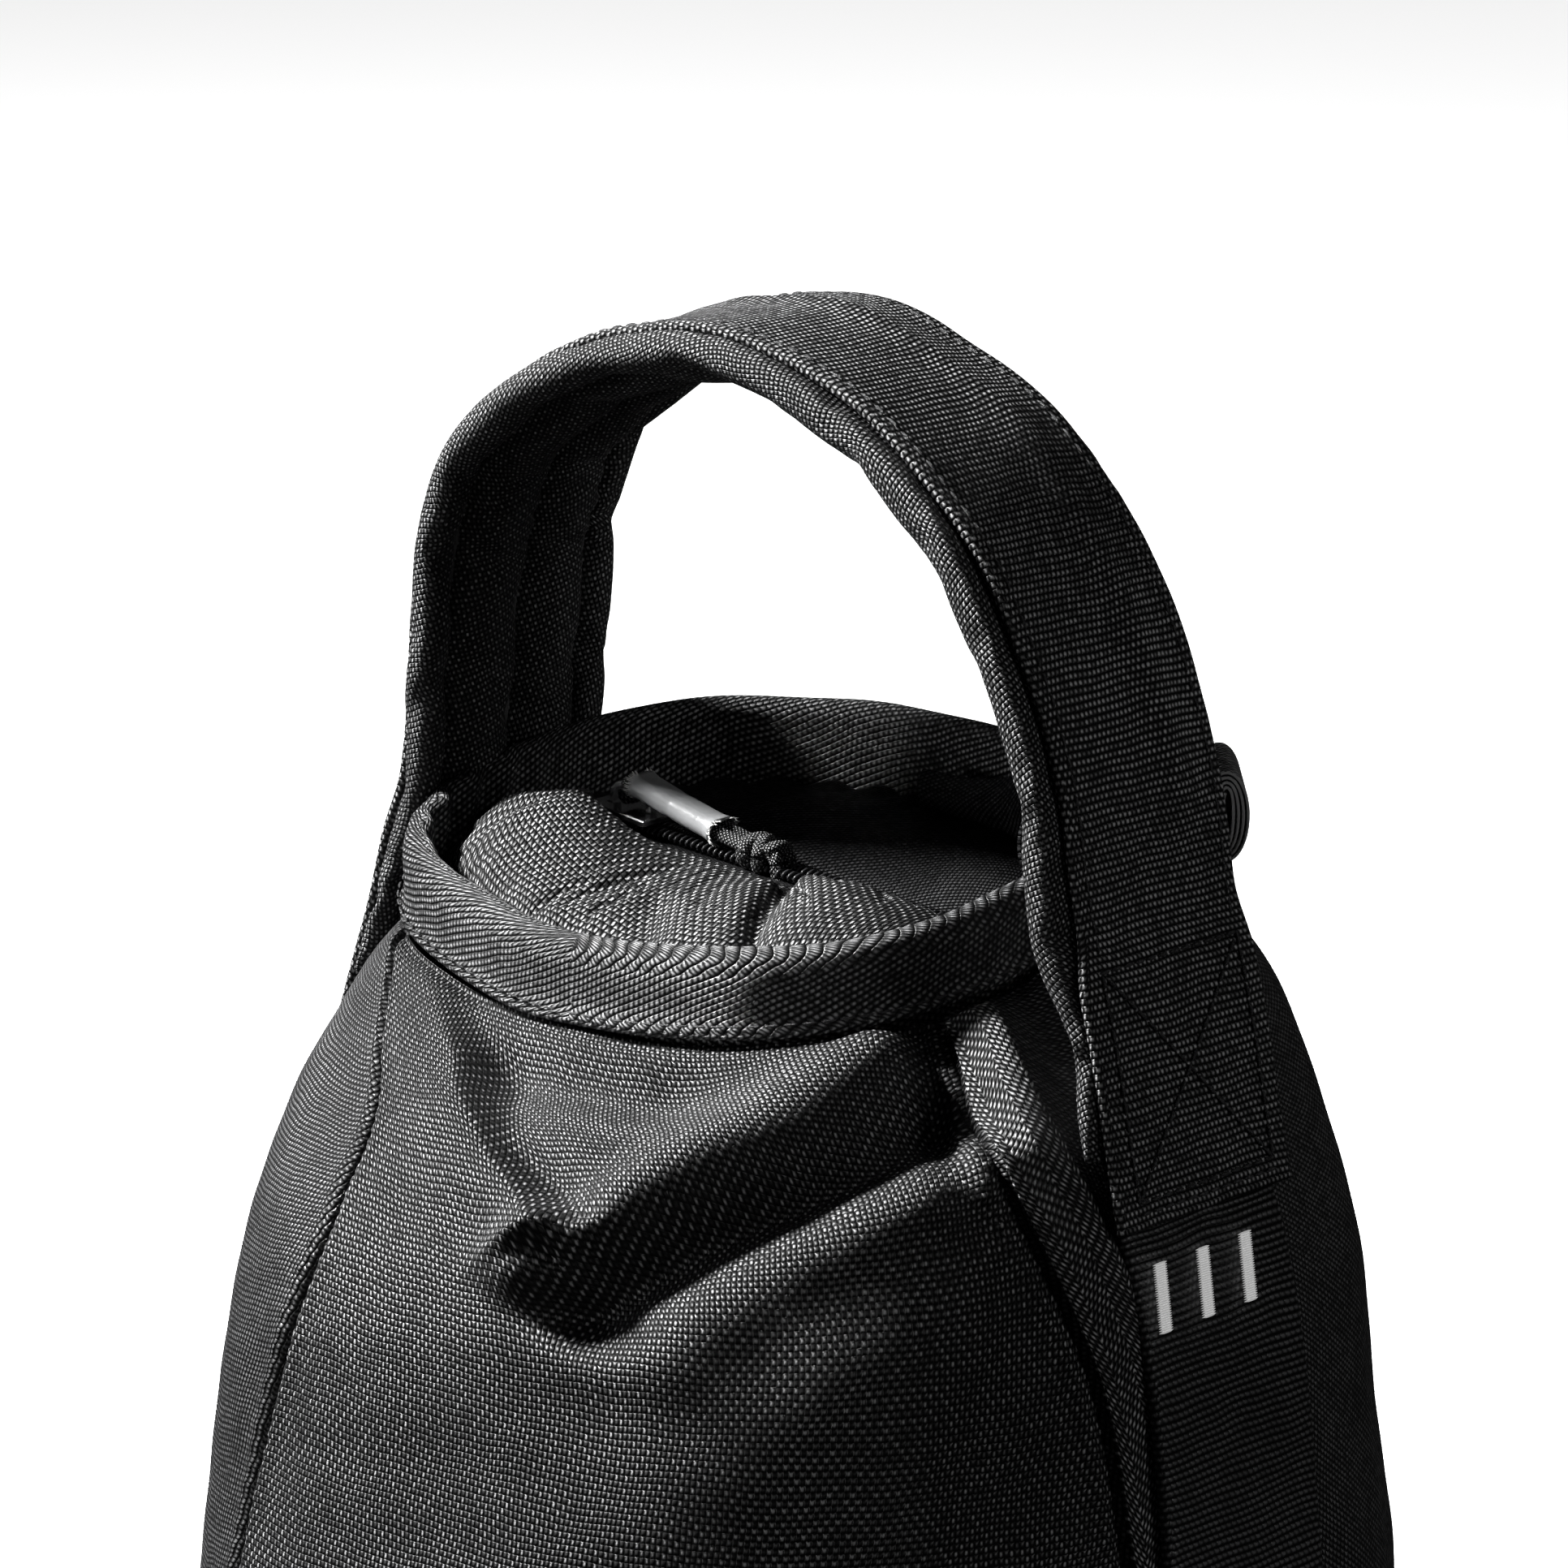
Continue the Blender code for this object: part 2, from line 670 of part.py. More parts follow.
def rounded_section(half_width, half_depth, count=12):
    """A flat oval as (across, depth) pairs."""
    points = []
    for k in range(count):
        turn = math.tau * (k + 0.5) / count
        points.append(tuple(flat_oval(turn, half_width, half_depth, 3.0)))
    return points


def make_handle(webbing, cloth, foam, thread, parent):
    half = WEBBING_WIDTH / 2.0
    stations = handle_stations(36, half)
    handle_strip("handle_webbing", stations, 0.0, WEBBING, (-half, half), webbing, parent, half)
    for side, label in ((-1, "front"), (1, "back")):
        y = side * (half - 0.0030)
        across = (min(y, y + side * 0.0010), max(y, y + side * 0.0010))
        handle_strip(
            f"handle_seam_{label}", handle_stations(36), -GAP - THREAD, -GAP, across, thread, parent
        )

    middle = WEBBING + GAP + COVER_THICKNESS / 2.0
    stations = handle_stations(30)

    def rings(half_width, half_depth):
        section = rounded_section(half_width, half_depth)
        loops = []
        for point, normal, _ in stations:
            loops.append([point - normal * (middle + depth) + Vector((0, y, 0)) for y, depth in section])
        return loops

    outer = rings(COVER_WIDTH / 2.0, COVER_THICKNESS / 2.0)
    inner = rings(COVER_WIDTH / 2.0 - COVER_CLOTH, COVER_THICKNESS / 2.0 - COVER_CLOTH)
    mesh = bmesh.new()
    skins = [[[mesh.verts.new(point) for point in ring] for ring in loops] for loops in (outer, inner)]
    count = len(outer[0])
    for rows in skins:
        for low, high in zip(rows, rows[1:]):
            for k in range(count):
                n = (k + 1) % count
                mesh.faces.new((low[k], low[n], high[n], high[k]))
    for row in (0, -1):
        for k in range(count):
            n = (k + 1) % count
            mesh.faces.new((skins[0][row][k], skins[0][row][n], skins[1][row][n], skins[1][row][k]))
    finish("handle_cover", mesh, cloth, parent)

    spare = COVER_CLOTH + GAP
    loft("handle_padding", rings(COVER_WIDTH / 2.0 - spare, COVER_THICKNESS / 2.0 - spare), foam, parent)


# ---------------------------------------------------------------- zipper slider and its pull


def block(mesh, low, high, taper=0.0):
    """A box between two corners; taper narrows it in Y at its low end of X."""
    corners = []
    for x in (low[0], high[0]):
        shrink = 1.0 - taper if x == low[0] else 1.0
        for y in (low[1] * shrink, high[1] * shrink):
            for z in (low[2], high[2]):
                corners.append(mesh.verts.new((x, y, z)))
    for face in ((0, 1, 3, 2), (4, 6, 7, 5), (0, 4, 5, 1), (2, 3, 7, 6), (0, 2, 6, 4), (1, 5, 7, 3)):
        mesh.faces.new([corners[i] for i in face])


def make_slider(metal, parent):
    """Two plates on a post, with an arched bridge over the upper one. Local X runs along the zip."""
    half_length = SLIDER_LENGTH / 2.0
    half_width = SLIDER_WIDTH / 2.0
    under = GAP + TEETH_HEIGHT + GAP
    below = -TAPE - GAP
    top = under + SLIDER_PLATE

    pieces = []
    post_low = (-half_length + 0.001, -TEETH_SPACING / 4.0, below - 0.0005)
    post_high = (-half_length + 0.005, TEETH_SPACING / 4.0, under + 0.0005)
    for low, high, taper in (
        ((-half_length, -half_width, under), (half_length, half_width, top), 0.25),
        ((-half_length, -half_width, below - SLIDER_PLATE), (half_length, half_width, below), 0.25),
        (post_low, post_high, 0.0),
    ):
        mesh = bmesh.new()
        block(mesh, low, high, taper)
        pieces.append(finish("slider_block", mesh, metal, parent))

    outline = bridge_outline(top)
    arch = [[(x, y, z) for x, z in outline] for y in (-BRIDGE_WIDTH / 2.0, BRIDGE_WIDTH / 2.0)]
    pieces.append(loft("slider_bridge", arch, metal, parent))

    slider = pieces[0]
    slider.name = "zipper_slider"
    for other in pieces[1:]:
        other.name = "slider_cutter"
        other.hide_render = True
        other.display_type = "WIRE"
        join = slider.modifiers.new("join", "BOOLEAN")
        join.operation = "UNION"
        join.solver = "EXACT"
        join.object = other
    bevel = slider.modifiers.new("round", "BEVEL")
    bevel.width = 0.0002
    bevel.segments = 1
    bevel.limit_method = "ANGLE"
    bevel.angle_limit = math.radians(50.0)


def bridge_outline(base):
    """Side view of the arch on the plate at height base: its outer line, then its inner line back."""
    half = BRIDGE_LENGTH / 2.0
    foot = base - BRIDGE_SINK
    turns = [math.radians(180.0 - 180.0 * share) for share in shares(9)]

    def line(reach, rise):
        return [(reach * math.cos(turn), foot + rise * math.sin(turn) ** BRIDGE_ROUNDNESS) for turn in turns]

    return line(half, BRIDGE_BORE + BRIDGE_STOCK) + line(half - BRIDGE_STOCK, BRIDGE_BORE)[::-1]


def tube_rings(points, radius, count=8):
    rings = []
    last = len(points) - 1
    for i, point in enumerate(points):
        run = (points[min(i + 1, last)] - points[max(i - 1, 0)]).normalized()
        side = run.cross(Vector((0, 0, 1)))
        side = side.normalized() if side.length > 1e-6 else Vector((0, 1, 0))
        up = side.cross(run)
        turns = [math.tau * (k + 0.5) / count for k in range(count)]
        rings.append([point + side * (radius * math.cos(t)) + up * (radius * math.sin(t)) for t in turns])
    return rings


def make_pull(cord, sleeve, parent):
    """A cord doubled through the bridge, a sleeve over both strands and a knot. It lies along local +X."""
    radius = PULL_CORD / 2.0
    spread = BRIDGE_WIDTH / 2.0 + GAP * 1.5 + radius
    close = radius + GAP / 2.0
    half_turn = [math.radians(angle) for angle in (90, 65, 40, 15, -15, -40, -65, -90)]
    end = PULL_LENGTH - KNOT_LENGTH - GAP

    def strand(side):
        return [
            Vector((mix(spread, SLEEVE_START, 0.5), side * mix(spread, close, 0.6), 0.0)),
            Vector((SLEEVE_START, side * close, 0.0)),
            Vector((SLEEVE_START + SLEEVE_LENGTH, side * close, 0.0)),
            Vector((end, side * close, 0.0)),
        ]

    bend = [Vector((spread * (1.0 - math.cos(t)), spread * math.sin(t), 0.0)) for t in half_turn]
    line = strand(1)[::-1] + bend + strand(-1)
    loft("pull_cord", tube_rings(line, radius), cord, parent)

    rings_out = []
    rings_in = []
    chamfer = 0.0008
    last = SLEEVE_LENGTH - chamfer
    for along, grow in ((0.0, 0.0), (chamfer, 0.0002), (last, 0.0002), (SLEEVE_LENGTH, 0.0)):
        for rings, lift in ((rings_out, 0.0007 + grow), (rings_in, GAP)):
            ring = []
            for k in range(16):
                turn = math.tau * (k + 0.5) / 16
                y = math.cos(turn) * (radius + lift)
                y += close if y > 0 else -close
                ring.append(Vector((SLEEVE_START + along, y, math.sin(turn) * (radius + lift))))
            rings.append(ring)
    mesh = bmesh.new()
    skins = [[[mesh.verts.new(point) for point in ring] for ring in rings] for rings in (rings_out, rings_in)]
    for rows in skins:
        for low, high in zip(rows, rows[1:]):
            for k in range(16):
                n = (k + 1) % 16
                mesh.faces.new((low[k], low[n], high[n], high[k]))
    for row in (0, -1):
        for k in range(16):
            n = (k + 1) % 16
            mesh.faces.new((skins[0][row][k], skins[0][row][n], skins[1][row][n], skins[1][row][k]))
    finish("pull_sleeve", mesh, sleeve, parent)

    knot = bmesh.new()
    bmesh.ops.create_uvsphere(knot, u_segments=12, v_segments=8, radius=1.0)
    size = Matrix.Diagonal((KNOT_LENGTH / 2.0, 0.0040, 0.0033, 1.0))
    place = Matrix.Translation((PULL_LENGTH - KNOT_LENGTH / 2.0, 0.0, 0.0))
    bmesh.ops.transform(knot, matrix=place @ size, verts=knot.verts)
    finish("pull_knot", knot, cord, parent)


# ---------------------------------------------------------------- assembly


def main():
    for piece in list(bpy.data.objects):
        bpy.data.objects.remove(piece, do_unlink=True)

    weave = paint("basket_weave", (0.012, 0.012, 0.013), 0.75)
    twill = paint("twill", (0.014, 0.014, 0.015), 0.70)
    webbing = paint("webbing", (0.010, 0.010, 0.011), 0.62)
    cloth = paint("cover_cloth", (0.016, 0.016, 0.017), 0.70)
    foam = paint("foam", (0.10, 0.10, 0.10), 0.95)
    liner = paint("liner", (0.55, 0.55, 0.52), 0.60)
    sand = paint("sand", (0.48, 0.38, 0.25), 0.95)
    board = paint("stiffener", (0.20, 0.20, 0.20), 0.60)
    black_thread = paint("black_thread", (0.02, 0.02, 0.02), 0.55)
    white_thread = paint("white_thread", (0.80, 0.80, 0.78), 0.55)
    nylon = paint("nylon", (0.015, 0.015, 0.016), 0.35)
    metal = paint("metal", (0.75, 0.75, 0.76), 0.25, 1.0)
    sleeve = paint("sleeve", (0.42, 0.43, 0.44), 0.45)
    cord = paint("cord", (0.016, 0.016, 0.016), 0.65)

    make_body(weave, twill)
    make_filling(liner, sand, cord)
    make_collar(twill, board)
    make_zip(cloth, nylon, metal)
    make_lid(weave)
    make_flap(cloth)
    make_straps(webbing, black_thread)
    make_mark(white_thread)
    make_tail(webbing)

    handle_axis = axis_empty("handle_axis", (0.0, 0.0, HINGE_HEIGHT))
    make_handle(webbing, cloth, foam, black_thread, handle_axis)

    slider_axis = axis_empty("slider_axis", ZIP_START, tilt=ZIP_SLOPE)
    make_slider(metal, slider_axis)
    bridge_height = 2.0 * GAP + TEETH_HEIGHT + SLIDER_PLATE + BRIDGE_BORE / 2.0
    pull_axis = axis_empty("pull_axis", (0.0, 0.0, bridge_height), slider_axis)
    make_pull(cord, sleeve, pull_axis)


main()
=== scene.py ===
"""Looks of a photographic sandbag: cloth, webbing, stitching, zip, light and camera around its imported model.

Metres, +Z up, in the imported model's frame: X runs along the handle's span, -Y is the front, and azimuths
are counted from -Y towards +X.
"""

import json
import math

import bmesh
import bpy
import numpy as np
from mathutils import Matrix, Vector


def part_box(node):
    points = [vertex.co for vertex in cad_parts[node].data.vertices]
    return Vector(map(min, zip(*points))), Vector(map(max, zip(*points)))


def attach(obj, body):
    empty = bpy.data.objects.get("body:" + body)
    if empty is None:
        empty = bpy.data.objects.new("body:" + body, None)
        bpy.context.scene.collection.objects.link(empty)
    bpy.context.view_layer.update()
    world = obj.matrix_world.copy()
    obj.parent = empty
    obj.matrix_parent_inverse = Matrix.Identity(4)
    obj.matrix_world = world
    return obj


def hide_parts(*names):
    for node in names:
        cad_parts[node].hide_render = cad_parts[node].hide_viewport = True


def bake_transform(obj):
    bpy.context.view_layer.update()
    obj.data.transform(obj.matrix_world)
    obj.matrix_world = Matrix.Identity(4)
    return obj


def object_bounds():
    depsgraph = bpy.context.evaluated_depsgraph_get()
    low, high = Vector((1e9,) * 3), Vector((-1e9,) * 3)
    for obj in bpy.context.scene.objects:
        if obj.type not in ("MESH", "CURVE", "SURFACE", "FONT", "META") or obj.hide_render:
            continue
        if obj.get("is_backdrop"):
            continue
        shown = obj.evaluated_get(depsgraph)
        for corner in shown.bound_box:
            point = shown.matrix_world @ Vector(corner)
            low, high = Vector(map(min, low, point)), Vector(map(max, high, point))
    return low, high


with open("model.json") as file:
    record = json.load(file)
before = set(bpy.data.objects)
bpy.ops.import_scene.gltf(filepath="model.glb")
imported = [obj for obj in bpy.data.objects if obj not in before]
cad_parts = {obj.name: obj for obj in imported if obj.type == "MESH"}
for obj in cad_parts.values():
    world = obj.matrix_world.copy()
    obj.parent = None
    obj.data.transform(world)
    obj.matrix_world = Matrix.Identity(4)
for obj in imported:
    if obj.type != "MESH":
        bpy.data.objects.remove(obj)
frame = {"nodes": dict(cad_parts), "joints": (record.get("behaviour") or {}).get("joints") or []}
CAD_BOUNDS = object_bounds()

# ---------------------------------------------------------------- sizes

GAP = 0.0003
CLOTH = 0.0012
SECTION_POWER = 2.5
COLLAR_POWER = 2.2
BASE_HALF = 0.0785
# (height, growth) of the base panel's turned edge
BASE_EDGE = [(0.0, -0.004), (0.0, -0.0012), (0.0004, -0.0003), (0.0010, 0.0), (0.0016, -0.0004)]
SEAM_HEIGHT = 0.1815
RIM_TILT = 0.21
TILT_START = 0.55

# (height, half width along X, half width along Y, centre X) from the base seam to the collar seam
BODY_SECTIONS = [
    (0.0021, 0.0795, 0.0795, 0.0),
    (0.0110, 0.0875, 0.0875, 0.0),
    (0.0350, 0.0925, 0.0925, 0.0),
    (0.0650, 0.0940, 0.0940, 0.0),
    (0.0950, 0.0912, 0.0912, 0.0),
    (0.1250, 0.0872, 0.0872, 0.0),
    (0.1500, 0.0812, 0.0800, -0.001),
    (0.1690, 0.0725, 0.0680, -0.002),
    (SEAM_HEIGHT, 0.0575, 0.0475, -0.006),
]
# azimuths of the front panel's seams in degrees, evenly spaced from the base to the collar
LEFT_SEAM = (-36.0, -35.0, -33.0, -29.5, -26.0, -22.0, -20.0, -27.0, -58.0)
RIGHT_SEAM = (80.0, 80.0, 79.0, 77.0, 75.0, 72.5, 68.0, 65.0, 69.0)

STRIP_START = 0.6            # degrees past the seam, and degrees wide, of the edging beside each strap
STRIP_WIDTH = 7.4

# (radius, height) of the liner's gathered neck
LINER_NECK = [(0.046, 0.1600), (0.026, 0.1650), (0.0125, 0.1685), (0.0080, 0.1715), (0.0080, 0.1745)]

DEGREE_LENGTH = 0.0014       # of cloth round the bag, for each degree of azimuth
CLOTH_HEIGHT = 0.230         # of cloth from the base seam to the collar seam
# (azimuth from the panel's middle in degrees, level, size, depth) of the panel's soft dents
SOFT_DENTS = [
    (63, 0.58, 0.0090, 0.0016),
    (20, 0.62, 0.0120, 0.0010),
    (48, 0.66, 0.0140, -0.0010),
    (2, 0.55, 0.018, 0.0009),
]

COLLAR_CENTRE = -0.006
COLLAR_HALF_X = 0.0570
COLLAR_HALF_Y = 0.0470
COLLAR_HEIGHT = 0.0140
COLLAR_WALL = 0.0044
COLLAR_CLOTH = 0.0011

WEBBING = 0.0018
WEBBING_WIDTH = 0.038
TAB_WIDTH = 0.0420
TAB_BOTTOM = 0.1490
HINGE_HEIGHT = 0.197
HANDLE_LEAN = 0.12
# outer face of the handle's webbing, from the right bend over the top to the left bend
HANDLE_LINE = [
    (0.0745, HINGE_HEIGHT),
    (0.0705, 0.2170),
    (0.0625, 0.2370),
    (0.0490, 0.2560),
    (0.0285, 0.2710),
    (0.0000, 0.2795),
    (-0.0305, 0.2740),
    (-0.0560, 0.2580),
    (-0.0660, 0.2400),
    (-0.0700, 0.2170),
    (-0.0725, HINGE_HEIGHT),
]
STRAP_THICKNESS = 0.0022
STRAP_TOP = 0.1760
STRAP_END_LEVEL = 0.76       # the strap lies on the body below this level

ZIP_SLOPE = math.radians(4.5)
ZIP_START = np.array((-0.037, 0.0, 0.1890))
ZIP_REACH = (-0.012, 0.077)
TAPE_WIDTH = 0.0085
TAPE_INNER = 0.0010          # from the zip's middle to each tape
TAPE_REACH = (ZIP_REACH[0] - 0.004, ZIP_REACH[1] + 0.003)
COIL_MIDDLE = 0.0016
COIL_HEIGHT = 0.0011         # above the tapes
COIL_PITCH = 0.00125
COIL_HALF = (0.00115, 0.00062)     # half width and half height of a coil's loops
COIL_WIRE = 0.00030
LID_EDGE = 0.0050

# height of the lid's front half over the zip, evenly spaced from the left wall to the right one
LID_CREST = (
    0.0, 0.0030, 0.0070, 0.0050, 0.0026, 0.0014, 0.0018,
    0.0038, 0.0060, 0.0068, 0.0064, 0.0046, 0.0010,
)

PULL_CORD = 0.0026
PULL_RISE = 0.0027           # the sleeve lies on the slider's bridge
PULL_SLOPE = math.radians(13.5)
SLEEVE_START = 0.0012
SLEEVE_LENGTH = 0.0185
PULL_LENGTH = 0.0340
KNOT_LENGTH = 0.0085
FIBRE = 0.00013              # half the thickness of the sleeve's frayed fibres

TAIL_CENTRE = np.array((0.0505, 0.0460, 0.1990))
TAIL_WIDTH = 0.0200
TAIL_AZIMUTH = 42.0          # the roll's axis, in degrees from the handle's plane
TAIL_TURNS = 4.0
TAIL_PITCH = 0.0008

# BETWEEN_YARNS is the black cloth's own colour; YARN_CONTRAST narrows the painted highlight onto the yarn
# crowns.
BETWEEN_YARNS = (0.0008, 0.0008, 0.0009)
YARN_CONTRAST = 5.0
WEAR = 0.3                   # how much brighter or darker worn patches of cloth are
BRAID_PITCH = 0.00075

LENS = 155.8
CAMERA_DISTANCE = 1.1
DOME_RADIUS = 5.0
FLOOR_RADIUS = 4.0

UP = np.array((0.0, 0.0, 1.0))
BACKWARD = np.array((0.0, 1.0, 0.0))

PUFF_SCALE = 20.0            # the cloth simulation works on a copy this much larger
PUFF_FRAMES = 20
SMALL_STEP = 0.0001           # between two points that give a line's direction


# ---------------------------------------------------------------- curves and noise


def unit(vectors):
    return vectors / np.linalg.norm(vectors, axis=-1, keepdims=True)


def smooth_step(t):
    t = np.clip(t, 0.0, 1.0)
    return t * t * (3.0 - 2.0 * t)


def hump(distance, width):
    """A bell of height 1 and the given half width."""
    return np.exp(-((distance / width) ** 2))


def curve(stops, t):
    """Points at t, 0 to 1, of a smooth curve through the stops, which are evenly spaced in t."""
    stops = np.asarray(stops, float)
    place = np.clip(t, 0.0, 1.0) * (len(stops) - 1)
    i = np.minimum(place.astype(int), len(stops) - 2)
    u = place - i
    if stops.ndim > 1:
        u = u[..., None]
    before, start = stops[np.maximum(i - 1, 0)], stops[i]
    end, after = stops[i + 1], stops[np.minimum(i + 2, len(stops) - 1)]
    bend_in, bend_out = (end - before) / 2.0, (after - start) / 2.0
    rise = end - start
    return (
        start
        + bend_in * u
        + (3.0 * rise - 2.0 * bend_in - bend_out) * u**2
        + (bend_in + bend_out - 2.0 * rise) * u**3
    )


def even_curve(stops, count):
    """Points evenly spaced along a smooth curve through the stops."""
    fine = curve(stops, np.linspace(0.0, 1.0, 60 * len(stops)))
    reach = run_lengths(fine)
    wanted = np.linspace(0.0, reach[-1], count)
    return on_line(wanted, reach, fine)


def full_turn(count):
    """Azimuths evenly spaced round a full turn, from 0."""
    return np.linspace(0.0, math.tau, count + 1)[:-1]


def run_lengths(points):
    """Distance along a line of points, from its first."""
    steps = np.linalg.norm(np.diff(points, axis=0), axis=1)
    return np.concatenate([[0.0], np.cumsum(steps)])


def on_line(place, reach, values):
    """Values, a row for each point of a line, at a distance along it."""
    return np.stack([np.interp(place, reach, column) for column in values.T], axis=-1)


def lumps(points, size, seed):
    """Smooth noise, about -1 to 1, whose lumps are about that size."""
    draw = np.random.default_rng(seed)
    total = np.zeros(points.shape[:-1])
    for _ in range(7):
        direction = unit(draw.normal(size=3))
        pitch = size * draw.uniform(0.7, 1.5)
        total += np.sin(points @ direction * (math.tau / pitch) + draw.uniform(0.0, math.tau))
    return total / 3.5


def beside(across, up, stops):
    """Signed distance from a line of stops, positive above it, and the share along it."""
    stops = np.asarray(stops, float)
    nearest = np.full(across.shape, 1e9)
    signed = np.zeros(across.shape)
    share = np.zeros(across.shape)
    for i, (start, end) in enumerate(zip(stops, stops[1:])):
        run = end - start
        t = np.clip(((across - start[0]) * run[0] + (up - start[1]) * run[1]) / (run @ run), 0.0, 1.0)
        off_x = across - start[0] - t * run[0]
        off_y = up - start[1] - t * run[1]
        distance = np.hypot(off_x, off_y)
        closer = distance < nearest
        nearest = np.where(closer, distance, nearest)
        signed = np.where(closer, distance * np.sign(run[0] * off_y - run[1] * off_x), signed)
        share = np.where(closer, (i + t) / (len(stops) - 1), share)
    return signed, share


# ---------------------------------------------------------------- meshes


def new_object(name, data, material):
    data.materials.append(material)
    data.shade_smooth()
    piece = bpy.data.objects.new(name, data)
    bpy.context.scene.collection.objects.link(piece)
    return piece


def grid_normals(points, wrap=False):
    """Unit normals of a grid: the direction along its rows crossed with the one up its columns."""
    if wrap:
        along = np.roll(points, -1, axis=1) - np.roll(points, 1, axis=1)
    else:
        along = np.gradient(points, axis=1)
    upward = np.gradient(points, axis=0)
    return unit(np.cross(along, upward))


def cloth_lengths(points, wrap=False):
    """Each grid point's place on the flat cloth: across from the middle column, and up that column."""
    if wrap:
        points = np.concatenate([points, points[:, :1]], axis=1)
    steps = np.linalg.norm(np.diff(points, axis=1), axis=2)
    across = np.concatenate([np.zeros((len(points), 1)), np.cumsum(steps, axis=1)], axis=1)
    middle = points.shape[1] // 2
    across -= across[:, middle : middle + 1]
    up = run_lengths(points[:, middle])
    return np.stack([across, np.broadcast_to(up[:, None], across.shape)], axis=2)


def surface(name, points, material, lengths=None, wrap=False, thickness=0.0):
    """A sheet through a grid of points, with its UVs in metres of cloth and its thickness inwards."""
    rows, columns = points.shape[:2]
    if lengths is None:
        lengths = cloth_lengths(points, wrap)
    index = np.arange(rows * columns).reshape(rows, columns)
    left = index if wrap else index[:, :-1]
    right = np.roll(index, -1, axis=1) if wrap else index[:, 1:]
    quads = np.stack([left[:-1], right[:-1], right[1:], left[1:]], axis=-1)
    data = bpy.data.meshes.new(name)
    data.from_pydata(points.reshape(-1, 3).tolist(), [], quads.reshape(-1, 4).tolist())
    corners = [lengths[:-1, :-1], lengths[:-1, 1:], lengths[1:, 1:], lengths[1:, :-1]]
    layer = data.uv_layers.new(name="cloth")
    layer.data.foreach_set("uv", np.stack(corners, axis=2).astype(np.float32).ravel())
    piece = new_object(name, data, material)
    if thickness:
        solid = piece.modifiers.new("thickness", "SOLIDIFY")
        solid.thickness = thickness
        solid.offset = -1.0
    return piece


def band(name, centre, normals, across, widths, thickness, material, cross_section=None):
    """Webbing along a line: its outer face lies on the line, its selvedges are rounded."""
    count = 15
    turns = np.linspace(-1.0, 1.0, count)
    half = thickness / 2.0
    rounding = [math.radians(angle) for angle in (60.0, 30.0, 0.0, -30.0, -60.0)]
    rings = []
    for point, normal, side, width in zip(centre, normals, across, widths):
        flat = width / 2.0 - half

        def selvedge(outward, angle):
            reach = flat + half * math.cos(angle)
            return point + outward * reach + normal * (half * math.sin(angle) - half)

        ring = [point + side * (flat * t) for t in turns]
        ring += [selvedge(side, angle) for angle in rounding]
        ring += [point - normal * thickness + side * (flat * t) for t in turns[::-1]]
        ring += [selvedge(-side, angle) for angle in rounding[::-1]]
        rings.append(ring)
    points = np.array(rings)
    if cross_section is not None:
        points = cross_section(points)
    return closed_surface(name, points, material)


def closed_surface(name, points, material):
    """A wrapped grid of points whose two open ends are filled."""
    piece = surface(name, points, material, wrap=True)
    rows, columns = points.shape[:2]
    mesh = bmesh.new()
    mesh.from_mesh(piece.data)
    mesh.verts.ensure_lookup_table()
    first = [mesh.verts[i] for i in range(columns)]
    last = [mesh.verts[(rows - 1) * columns + i] for i in range(columns)]
    mesh.faces.new(first[::-1])
    mesh.faces.new(last)
    mesh.to_mesh(piece.data)
    mesh.free()
    return piece


def tube(name, line, radius, material, sides=10, squash=1.0, ripple=0.0):
    """A round cord along a line of points, closed at both ends."""
    line = np.asarray(line, float)
    radii = np.broadcast_to(np.asarray(radius, float), (len(line),))
    along = unit(np.gradient(line, axis=0))
    side = np.cross(along, UP)
    weak = np.linalg.norm(side, axis=1) < 0.2
    side[weak] = np.cross(along[weak], BACKWARD)
    side = unit(side)
    upward = np.cross(side, along)
    turns = np.arange(sides) * (math.tau / sides)
    rings = []
    for i in range(len(line)):
        swell = 1.0 + ripple * np.sin(turns * 3.0 + i * 1.3)
        ring = line[i] + radii[i] * (
            np.outer(np.cos(turns) * swell, side[i]) + np.outer(np.sin(turns) * swell * squash, upward[i])
        )
        rings.append(ring)
    return closed_surface(name, np.array(rings)[:, ::-1], material)


def stamped(name, verts, faces, frames, material):
    """Copies of a small closed shape. Each frame is an origin and the shape's three axes, scaled."""
    verts = np.asarray(verts, float)
    everything, every_face = [], []
    for number, (origin, axes) in enumerate(frames):
        everything.append(origin + verts @ np.asarray(axes))
        every_face += [[i + number * len(verts) for i in face] for face in faces]
    data = bpy.data.meshes.new(name)
    data.from_pydata(np.concatenate(everything).tolist(), [], every_face)
    return new_object(name, data, material)


def stitch_shape(sides=6, rings=5):
    """A stitch lying along X from -1 to 1 that dives at both ends: unit radius, its back raised."""
    verts = []
    for i in range(rings):
        x = -1.0 + 2.0 * i / (rings - 1)
        radius = math.sqrt(max(1.0 - abs(x) ** 3, 0.02))
        lift = 0.6 * (1.0 - x * x)
        for k in range(sides):
            turn = math.tau * k / sides
            verts.append((x, radius * math.cos(turn), radius * math.sin(turn) + lift))
    faces = []
    for i in range(rings - 1):
        for k in range(sides):
            n = (k + 1) % sides
            faces.append((i * sides + k, i * sides + n, (i + 1) * sides + n, (i + 1) * sides + k))
    faces.append(tuple(range(sides - 1, -1, -1)))
    faces.append(tuple((rings - 1) * sides + k for k in range(sides)))
    return verts, faces


